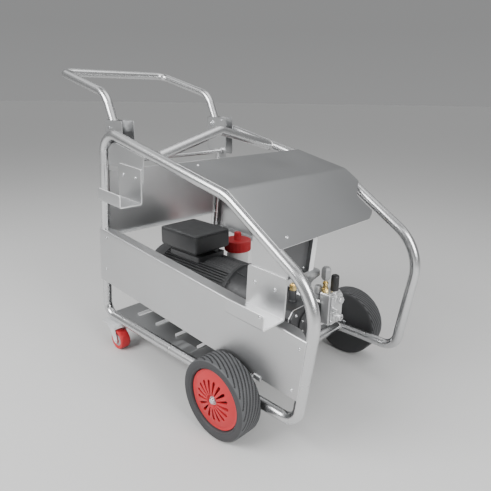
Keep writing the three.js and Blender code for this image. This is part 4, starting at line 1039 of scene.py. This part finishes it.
# ---------------------------------------------------------------- pump
X0, X1, Y0, Y1, Z0, Z1 = 668, 800, -85, 72, 200, 322
case_pts = [(Y0 + 14, Z0), (Y1, Z0), (Y1, Z1 - 10), (Y1 - 12, Z1), (Y0 + 22, Z1), (Y0, Z1 - 26), (Y0, Z0 + 14)]


def shrunk(points, d):
    cy, cz = (Y0 + Y1) / 2, (Z0 + Z1) / 2
    return [(cy + (p[0] - cy) * (1 - 2 * d / (Y1 - Y0)), cz + (p[1] - cz) * (1 - 2 * d / (Z1 - Z0))) for p in points]


cr = [8, 4, 5, 5, 14, 14, 8]
cp = [prism(round_poly(shrunk(case_pts, 2.0), cr, 5), X0, X1 - 12, "yz"), prism(round_poly(case_pts, cr, 5), X1 - 12.4, X1 - 9.6, "yz"), prism(round_poly(shrunk(case_pts, 1.6), cr, 5), X1 - 10, X1, "yz")]
ids = [0, 2, 0]
for x in (690, 712, 734, 756, 778):
    cp.append(prism(round_poly([(Y0 - 0.4, Z0 + 26), (Y0 + 6, Z0 + 22), (Y0 + 6, Z1 - 30), (Y0 - 0.4, Z1 - 38)], 1.5, 3), x - 2, x + 2, "yz"))
    ids.append(0)
base_pts = round_poly([(672, Y0 + 6), (780, Y0 + 6), (780, Y1 - 6), (672, Y1 - 6)], 8, 5)
cp.append(prism(base_pts, 150, 163, "xy"))
cp.append(prism(round_poly([(674, Y0 + 8), (702, Y0 + 8), (702, Y1 - 8), (674, Y1 - 8)], 3, 3), 160, Z0 + 3, "xy"))
cp.append(revolve([(0, X1 - 0.5), (42.6, X1 - 0.5), (43.8, X1 + 0.6), (43.8, X1 + 5.4), (42.6, X1 + 6.8), (30, X1 + 7.2), (24, X1 + 11), (22, X1 + 12.8), (9, X1 + 12.8), (8, X1 + 11.6), (0, X1 + 11.6)], "x", (0, 0, MZ), 72))
cp.append(revolve([(0, Z1 - 6), (15.5, Z1 - 6), (15.5, Z1 + 3), (13.8, Z1 + 5), (13.4, Z1 + 38.6), (12.4, Z1 + 40), (8.4, Z1 + 40), (8.4, Z1 + 30), (0, Z1 + 30)], "z", (738, 0, 0), 40))
ids += [0, 0, 0, 0]
for k in range(6):
    t = math.radians(30 + 60 * k)
    hb = hex_bolt((X1 + 6.4, 36 * math.cos(t), MZ + 36 * math.sin(t)), (1, 0, 0), 8, 3.4, washer=False)
    cp += hb
    ids += [1] * len(hb)
for yy, zz in ((Y0 + 18, Z0 + 14), (Y1 - 12, Z0 + 14), (Y1 - 16, Z1 - 16), (Y0 + 26, Z1 - 16)):
    cp.append(dome_screw((X1 - 0.1, yy, zz), (1, 0, 0), 6.0, 3.2))
    ids.append(1)
cp.append(revolve([(0, -1.0), (9, -1.0), (9.4, 0.4), (11, 1.0), (12, 2.8), (14, 3), (14, -1), (0, -1)], at=(X1 + 0.3, -58, 226), n=32, direction=(1, 0, 0)))
ids.append(2)
emit("crankcase_visual", cp, "chassis", ["pump_crankcase"], "dark_casting", [CAST, ZINC, ALU], bevel=0.6, ids=ids)

PX = (697, 734, 771)
crank = [revolve([(0, 586), (18.4, 586), (19, 587), (19, 640), (15, 641), (15, 796), (14, 797), (0, 797)], "x", (0, 0, 0), 40)]
for k, x in enumerate(PX):
    a = 2 * math.pi * k / 3
    crank.append(revolve([(0, x - 10), (21.4, x - 10), (22, x - 9.4), (22, x + 9.4), (21.4, x + 10), (0, x + 10)], "x", (0, 8 * math.cos(a), 8 * math.sin(a)), 48))
emit("crankshaft_visual", [shifted(q, 0, 0, MZ) for q in crank], "drive_line", ["pump_crankshaft"], "bright_metal", [ALU])

HX0, HX1, HY0, HY1, HZ0, HZ1, VX1, VZ0, VZ1 = 680, 808, 72.6, 150, 222, 318, 846, 233, 352
head = prism(round_poly([(HY0, HZ0 + 8), (HY0 + 10, HZ0), (HY1 - 8, HZ0), (HY1, HZ0 + 10), (HY1, HZ1 - 26), (HY1 - 16, HZ1), (HY0 + 6, HZ1), (HY0, HZ1 - 8)], 4, 4), HX0, HX1, "yz")
end = prism(round_poly([(HY0, VZ0 + 6), (HY0 + 6, VZ0), (HY1 - 10, VZ0), (HY1, VZ0 + 12), (HY1, VZ1 - 18), (HY1 - 14, VZ1), (HY0 + 5, VZ1), (HY0, VZ1 - 6)], 4, 4), 801, VX1 - 8, "yz")
face = prism(round_poly([(HY0 + 4, VZ0 + 8), (HY0 + 8, VZ0 + 4), (HY1 - 14, VZ0 + 4), (HY1 - 4, VZ0 + 14), (HY1 - 4, VZ1 - 20), (HY1 - 17, VZ1 - 4), (HY0 + 8, VZ1 - 4), (HY0 + 4, VZ1 - 8)], 4, 4), VX1 - 8.5, VX1, "yz")
hp = [head, end, face]
for x in PX:
    hp.append(revolve([(0, HY1 - 1), (17, HY1 - 1), (17, HY1 + 2), (15.5, HY1 + 3), (0, HY1 + 3)], "y", (x, 0, 250), 36))
    hp.append(revolve([(0, HY1 + 2.6), (14.2, HY1 + 2.6), (14.6, HY1 + 3.2), (14.6, HY1 + 8.6), (13.2, HY1 + 9.8), (0, HY1 + 9.8)], "y", (x, 0, 250), 6))
for x in (708, 764):
    hp.append(revolve([(0, HZ1 - 1), (15.5, HZ1 - 1), (15.5, HZ1 + 2.6), (14, HZ1 + 3.6), (0, HZ1 + 3.6)], "z", (x, 116, 0), 36))
    hp.append(revolve([(0, HZ1 + 3), (12.6, HZ1 + 3), (13, HZ1 + 3.6), (13, HZ1 + 13.6), (11.6, HZ1 + 15), (0, HZ1 + 15)], "z", (x, 116, 0), 6))
hp.append(revolve([(0, VX1 - 3), (19, VX1 - 3), (19, VX1 + 3), (15.5, VX1 + 5), (15.5, VX1 + 12), (13, VX1 + 13), (0, VX1 + 13)], "x", (0, 112, 326), 40))
hp.append(revolve([(0, VX1 + 12.6), (13.2, VX1 + 12.6), (13.6, VX1 + 13.2), (13.6, VX1 + 18.6), (12.2, VX1 + 20), (0, VX1 + 20)], "x", (0, 112, 326), 6))
hp.append(revolve([(0, VX1 - 3), (21, VX1 - 3), (21, VX1 + 6), (17, VX1 + 8), (17, VX1 + 13), (15, VX1 + 14), (0, VX1 + 14)], "x", (0, 108, 264), 40))
thread = [(7, VX1 + 13)]
for k in range(5):
    thread += [(11.6, VX1 + 13.6 + 2 * k), (12.8, VX1 + 14.4 + 2 * k)]
thread += [(11.4, VX1 + 23.6), (7, VX1 + 24)]
hp.append(revolve(thread, "x", (0, 108, 264), 36, ring=True))
for zz in (288, 302):
    hp.append(revolve([(0, 0), (4.6, 0), (4.6, 26), (3.6, 27), (0, 27)], at=(VX1 - 2, 88, zz), n=24, direction=(0.55, -0.25, 0.0)))
ids = [0] * len(hp)
for x in (690, 716, 752, 790):
    for z in (HZ0 + 14, HZ1 - 32):
        hb = hex_bolt((x, HY1 - 0.1, z), (0, 1, 0), 9, 4.6)
        hp += hb
        ids += [1] * len(hb)
for yy, zz in ((82, 250), (136, 250), (82, 340), (134, 332)):
    hp.append(dome_screw((VX1 - 0.1, yy, zz), (1, 0, 0), 5.5, 3.2))
    ids.append(1)
emit("pump_head_visual", hp, "chassis", ["pump_head"], "bright_metal", [ALU, ZINC], bevel=0.8, ids=ids)
for k, x in enumerate(PX):
    pl = revolve([(0, 40), (7.2, 40), (8, 41), (8, 121), (7.2, 122), (0, 122)], "y", (x, 0, MZ), 32)
    emit(f"plunger_{k + 1}_visual", [pl], f"plunger_{'abc'[k]}", [f"plunger_{k + 1}"], "white_plastic", [WHITE])

OT = Z1 + 40
oil = [revolve([(0, Z1 - 14), (7.4, Z1 - 14), (8, Z1 - 13), (8, OT + 1), (0, OT + 1)], "z", (738, 0, 0), 24), revolve([(0, OT + 0.4), (12.6, OT + 0.4), (13, OT + 1), (13, OT + 17.6), (12, OT + 19), (0, OT + 19)], "z", (738, 0, 0), 72, mod=lambda t, k: (0.3 * np.cos(24 * t) - 0.3 if 1 < k < 4 else 0 * t)), revolve([(0, OT + 18.6), (8.4, OT + 18.6), (8.8, OT + 19.2), (8.8, OT + 23), (7.8, OT + 24), (0, OT + 24)], "z", (738, 0, 0), 6)]
emit("oil_cap_visual", oil, "oil_plug", ["oil_cap"], "brass", [BRASS], bevel=0.3)
RX, RY, UX, UY = 812, 84, 834, 108
stem = [revolve([(0, VZ1 - 22), (9, VZ1 - 22), (9, VZ1 + 1), (0, VZ1 + 1)], "z", (RX, RY, 0), 24), revolve([(0, VZ1 + 0.4), (11.6, VZ1 + 0.4), (12, VZ1 + 1), (12, VZ1 + 13), (11, VZ1 + 14), (0, VZ1 + 14)], "z", (RX, RY, 0), 6), revolve([(0, VZ1 + 13.6), (8.6, VZ1 + 13.8), (8.6, VZ1 + 22), (7.4, VZ1 + 24), (7.4, VZ1 + 27), (10, VZ1 + 29), (10, VZ1 + 35), (8.8, VZ1 + 36), (0, VZ1 + 36)], "z", (RX, RY, 0), 36), revolve([(0, VZ1 + 35.6), (5.8, VZ1 + 35.6), (5.8, 414), (0, 414)], "z", (RX, RY, 0), 20)]
emit("regulator_stem_visual", stem, "chassis", ["regulator_stem"], "brass", [BRASS], bevel=0.3)
knob = revolve([(0, 395.4), (10.4, 395.4), (11.2, 396.0), (17.4, 406.4), (18, 408.6), (18, 432), (17, 435), (11.6, 442), (10.4, 443), (0, 443)], "z", (RX, RY, 0), 6)
kbore = revolve([(0, 390), (7.4, 390), (7.4, 418), (0, 418)], "z", (RX, RY, 0), 24)
carve("regulator_knob_visual", [knob], [kbore], body="pressure_knob", replaces=["regulator_knob"], slot="grey_plastic", mats=[GREY], bevel=0.9)
ul = [revolve([(0, VZ1 - 22), (8.8, VZ1 - 22), (8.8, VZ1 + 1), (0, VZ1 + 1)], "z", (UX, UY, 0), 24), revolve([(0, VZ1 + 0.4), (10.8, VZ1 + 0.4), (11, VZ1 + 0.8), (11, VZ1 + 3.4), (10.4, VZ1 + 4), (0, VZ1 + 4)], "z", (UX, UY, 0), 6), revolve([(0, VZ1 + 3.6), (5, VZ1 + 3.6), (5, 376), (0, 376)], "z", (UX, UY, 0), 20)]
emit("unloader_visual", ul, "chassis", ["unloader_body"], "bright_metal", [ALU], bevel=0.3)
bk = revolve([(6, 357), (13.3, 357), (13.9, 358), (14, 362), (14, 380), (14, 400), (13.9, 408), (12.8, 411), (10.5, 412.8), (0, 413), (0, 380), (6, 380)], "z", (UX, UY, 0), 96, mod=lambda t, k: (0.4 * np.cos(24 * t) - 0.4 if 2 < k < 7 else 0 * t))
emit("bypass_knob_visual", [bk], "bypass_knob", ["unloader_knob"], "black_plastic", [BLACK])
flt = [revolve([(0, HZ1 - 18), (5.8, HZ1 - 18), (5.8, HZ1 + 0.5), (0, HZ1 + 0.5)], "z", (745, 84, 0), 24), revolve([(0, HZ1 + 0.4), (9, HZ1 + 0.4), (9, HZ1 + 12), (7.4, HZ1 + 14), (7.4, 366), (9, 369), (12, 375), (34.2, 398), (35.8, 400.8), (35.9, 409.6), (34.6, 412.4), (31, 413.8), (0, 414)], "z", (745, 84, 0), 96, mod=lambda t, k: (0.7 * np.cos(16 * t) - 0.7 if k in (7, 8, 9) else 0 * t))]
emit("filter_visual", flt, "chassis", ["inlet_filter"], "grey_plastic", [GREY], bevel=0.3)
rv = [revolve([(0, HZ1 - 18), (5.8, HZ1 - 18), (5.8, HZ1 + 0.5), (0, HZ1 + 0.5)], "z", (784, 84, 0), 24), revolve([(0, HZ1 + 0.4), (8.8, HZ1 + 0.4), (8.8, 334), (7.4, 336.4), (0, 336.4)], "z", (784, 84, 0), 36), revolve([(0, 337.6), (10.6, 337.6), (14.4, 342), (15, 344), (15, 361), (14.0, 363.6), (10.4, 367.6), (0, 368)], "z", (784, 84, 0), 6)]
emit("relief_visual", rv, "chassis", ["relief_valve"], "grey_plastic", [GREY], bevel=0.6)

# ---------------------------------------------------------------- detergent bottle
BX, BY, BZ = 279, 196, 130
bottle = revolve([(0, 0.4), (40, 0.4), (44.4, 1.6), (46.6, 4), (47, 8), (47, 18), (45.8, 21), (45.8, 184), (47, 188), (47, 200), (46.4, 206), (44.6, 211), (44, 214), (44, 240.6), (43.4, 241), (41.6, 241), (41.6, 213), (44.4, 204), (44.4, 7), (41, 3.4), (0, 3.4)], "z", (BX, BY, BZ), 80)
emit("bottle_visual", [bottle], "chassis", ["detergent_bottle"], "white_plastic", [WHITE])
top = BZ + 251
skirt = revolve([(0, top + 17.4), (40, top + 17.6), (50, top + 18), (54.6, top + 17.6), (56.8, top + 16), (57.2, top + 13), (57.2, top + 2), (57.2, top - 12), (57.2, top - 26), (56.6, top - 28), (45, top - 28), (45, top - 6), (0, top - 6)], "z", (BX, BY, 0), 240, mod=lambda t, k: (0.7 * np.clip(np.cos(60 * t) * 2.2, -1, 1) if 4 < k < 9 else 0 * t))
kn = revolve([(0, top + 17), (17.5, top + 17), (17.2, top + 20), (15.5, top + 23), (15.0, top + 44), (14, top + 48), (11, top + 50), (0, top + 50)], "z", (BX, BY, 0), 96, mod=lambda t, k: (0.8 * np.clip(np.cos(12 * t) * 2, -1, 1) if k in (3, 4, 5) else 0 * t))
emit("cap_visual", [skirt, kn], "cap", ["bottle_cap"], "red_plastic", [RED])

# ---------------------------------------------------------------- control box
CX0, CX1, CY0, CY1, CZ0, CZ1 = 745, 830, -192, 0, 456, 600
shell = []
o = round_poly([(CY0, CZ0), (CY1, CZ0), (CY1, CZ1), (CY0, CZ1)], 5, 4)
i_ = round_poly([(CY0 + 2.5, CZ0 + 2.5), (CY1 - 25, CZ0 + 2.5), (CY1 - 25, CZ1 - 2.5), (CY0 + 2.5, CZ1 - 2.5)], 3, 4)


def ring_wall(outer, inner, x0, x1):
    n = len(outer)
    v = []
    for oo, x in ((outer, x0), (outer, x1), (inner, x1), (inner, x0)):
        v += [vec(x, p[0], p[1]) for p in oo]
    f = []
    for k in range(n):
        j = (k + 1) % n
        for a in range(4):
            b = (a + 1) % 4
            f.append((a * n + k, a * n + j, b * n + j, b * n + k))
    return np.array(v), f


wall = ring_wall(o, i_, CX0 + 2, CX1)
back = prism(o, CX0, CX0 + 2.4, "yz")
lid_in = prism(round_poly([(CY0 + 1, CZ0 + 1), (CY1 - 24, CZ0 + 1), (CY1 - 24, CZ1 - 1), (CY0 + 1, CZ1 - 1)], 3, 4), CX1 - 16, CX1 - 14, "yz")
hangers = [box(CX0 + 6, CX0 + 9, y0, y1, CZ1 - 1, 655) for y0, y1 in ((CY0 + 30, CY0 + 60), (CY1 - 60, CY1 - 30))]
bscrews = [dome_screw((CX1 - 14, y, z), (1, 0, 0), 4) for y in (CY0 + 14, CY1 - 38) for z in (CZ0 + 14, CZ1 - 14)]
# strip: near-white edge strip on the front of the box, in the edge material: a painted highlight
strip = prism(round_poly([(CY1 - 24.6, CZ0 + 0.6), (CY1 - 0.6, CZ0 + 0.6), (CY1 - 0.6, CZ1 - 0.6), (CY1 - 24.6, CZ1 - 0.6)], 3, 4), CX1 - 1, CX1 + 0.15, "yz")


def raked(part):
    v = np.array(part[0], dtype=float)
    front = v[:, 0] > 800
    v[front, 0] -= 14 * (CZ1 - v[front, 2]) / (CZ1 - CZ0)
    return (v, *part[1:])


wall, lid_in, strip, bscrews = raked(wall), raked(lid_in), raked(strip), [raked(q) for q in bscrews]
carve("control_box_visual", [wall, back, lid_in, strip] + hangers + bscrews, [revolve([(0, CY0 - 6), (7, CY0 - 6), (7, CY0 + 8), (0, CY0 + 8)], "y", (785, 0, 540), 32)], body="chassis", replaces=["control_box"], slot="sheet", mats=[SHEET_SHADED, BOXLID, ZINC, EDGE_HIGHLIGHT], ids=[0, 0, 1, 3, 0, 0, 2, 2, 2, 2])
sw = [revolve([(0, -212), (6, -212), (6, -181), (5, -180), (0, -180)], "y", (785, 0, 540), 24), revolve([(0, -218), (17, -218), (20.5, -217), (22, -214), (22, -206), (24, -204), (24, -193.4), (23, -192.4), (0, -192.4)], "y", (785, 0, 540), 64, mod=lambda t, k: (0.35 * np.cos(28 * t) if k in (3, 4) else 0 * t)), prism(round_poly([(780, 517), (790, 517), (790, 563), (780, 563)], [4.5, 4.5, 3, 3], 4), -232, -216.5, "xz")]
emit("switch_visual", sw, "switch", ["main_switch"], "black_plastic", [BLACK], bevel=0.5)

# ---------------------------------------------------------------- floor, light, camera
floor = bpy.data.meshes.new("floor")
floor.from_pydata([(-60, -60, 0), (60, -60, 0), (60, 60, 0), (-60, 60, 0)], [], [(0, 1, 2, 3)])
fo = bpy.data.objects.new("floor", floor)
bpy.context.scene.collection.objects.link(fo)
fm = bpy.data.materials.new("floor")
fm.use_nodes = True
fm.node_tree.nodes["Principled BSDF"].inputs["Base Color"].default_value = (0.62, 0.62, 0.615, 1)
fm.node_tree.nodes["Principled BSDF"].inputs["Roughness"].default_value = 0.8
floor.materials.append(fm)
fo.location.z = -0.0005

world = bpy.data.worlds.new("studio")
bpy.context.scene.world = world
world.use_nodes = True
wn = world.node_tree
wc = wn.nodes.new("ShaderNodeTexCoord")
wz = wn.nodes.new("ShaderNodeSeparateXYZ")
wr = wn.nodes.new("ShaderNodeValToRGB")
for pos, tone_ in ((0.0, 0.31), (0.12, 0.28), (0.56, 0.28), (0.62, 1.15), (0.76, 1.15), (0.82, 0.28), (1.0, 0.28)):
    e = wr.color_ramp.elements[0] if pos == 0.0 else (wr.color_ramp.elements[-1] if pos == 1.0 else wr.color_ramp.elements.new(pos))
    e.color = (tone_, tone_ * 1.005, tone_ * 1.01, 1)
wn.links.new(wc.outputs["Generated"], wz.inputs["Vector"])
wn.links.new(wz.outputs["Z"], wr.inputs["Fac"])
wn.links.new(wr.outputs["Color"], wn.nodes["Background"].inputs["Color"])
wn.nodes["Background"].inputs["Strength"].default_value = 1.0


def area(name, loc, target, size, power, color=(1, 1, 1)):
    light = bpy.data.lights.new(name, "AREA")
    light.shape, light.size, light.size_y = "RECTANGLE", size[0], size[1]
    light.energy, light.color = power, color
    o = bpy.data.objects.new(name, light)
    o.location = loc
    o.rotation_euler = (Vector(target) - Vector(loc)).to_track_quat("-Z", "Y").to_euler()
    bpy.context.scene.collection.objects.link(o)
    return o


area("key", (-0.7, -3.15, 2.7), (0.0, -0.6, 0.2), (2.6, 1.8), 178)
area("top", (0.3, 0.5, 3.4), (0.1, 0, 0.5), (2.2, 2.0), 24)
area("right", (3.0, -0.3, 1.9), (0.2, 0, 0.4), (1.5, 1.8), 85)

cam = bpy.data.cameras.new("camera")
cam.lens, cam.sensor_width, cam.sensor_fit = 34.04, 36.0, "HORIZONTAL"
cam.clip_start, cam.clip_end = 0.05, 60
co = bpy.data.objects.new("camera", cam)
bpy.context.scene.collection.objects.link(co)
yaw, pitch, roll = math.radians(43.52), math.radians(-17.95), math.radians(0.73)
fwd = Vector((-math.sin(yaw) * math.cos(pitch), math.cos(yaw) * math.cos(pitch), math.sin(pitch)))
right = Vector((math.cos(yaw), math.sin(yaw), 0))
upv = right.cross(fwd)
r2, u2 = math.cos(roll) * right + math.sin(roll) * upv, -math.sin(roll) * right + math.cos(roll) * upv
m = Matrix((r2, u2, -fwd)).transposed().to_4x4()
m.translation = Vector(((1625.4 - OX) / 1000, -1.1721, 0.9915))
co.matrix_world = m
bpy.context.scene.camera = co
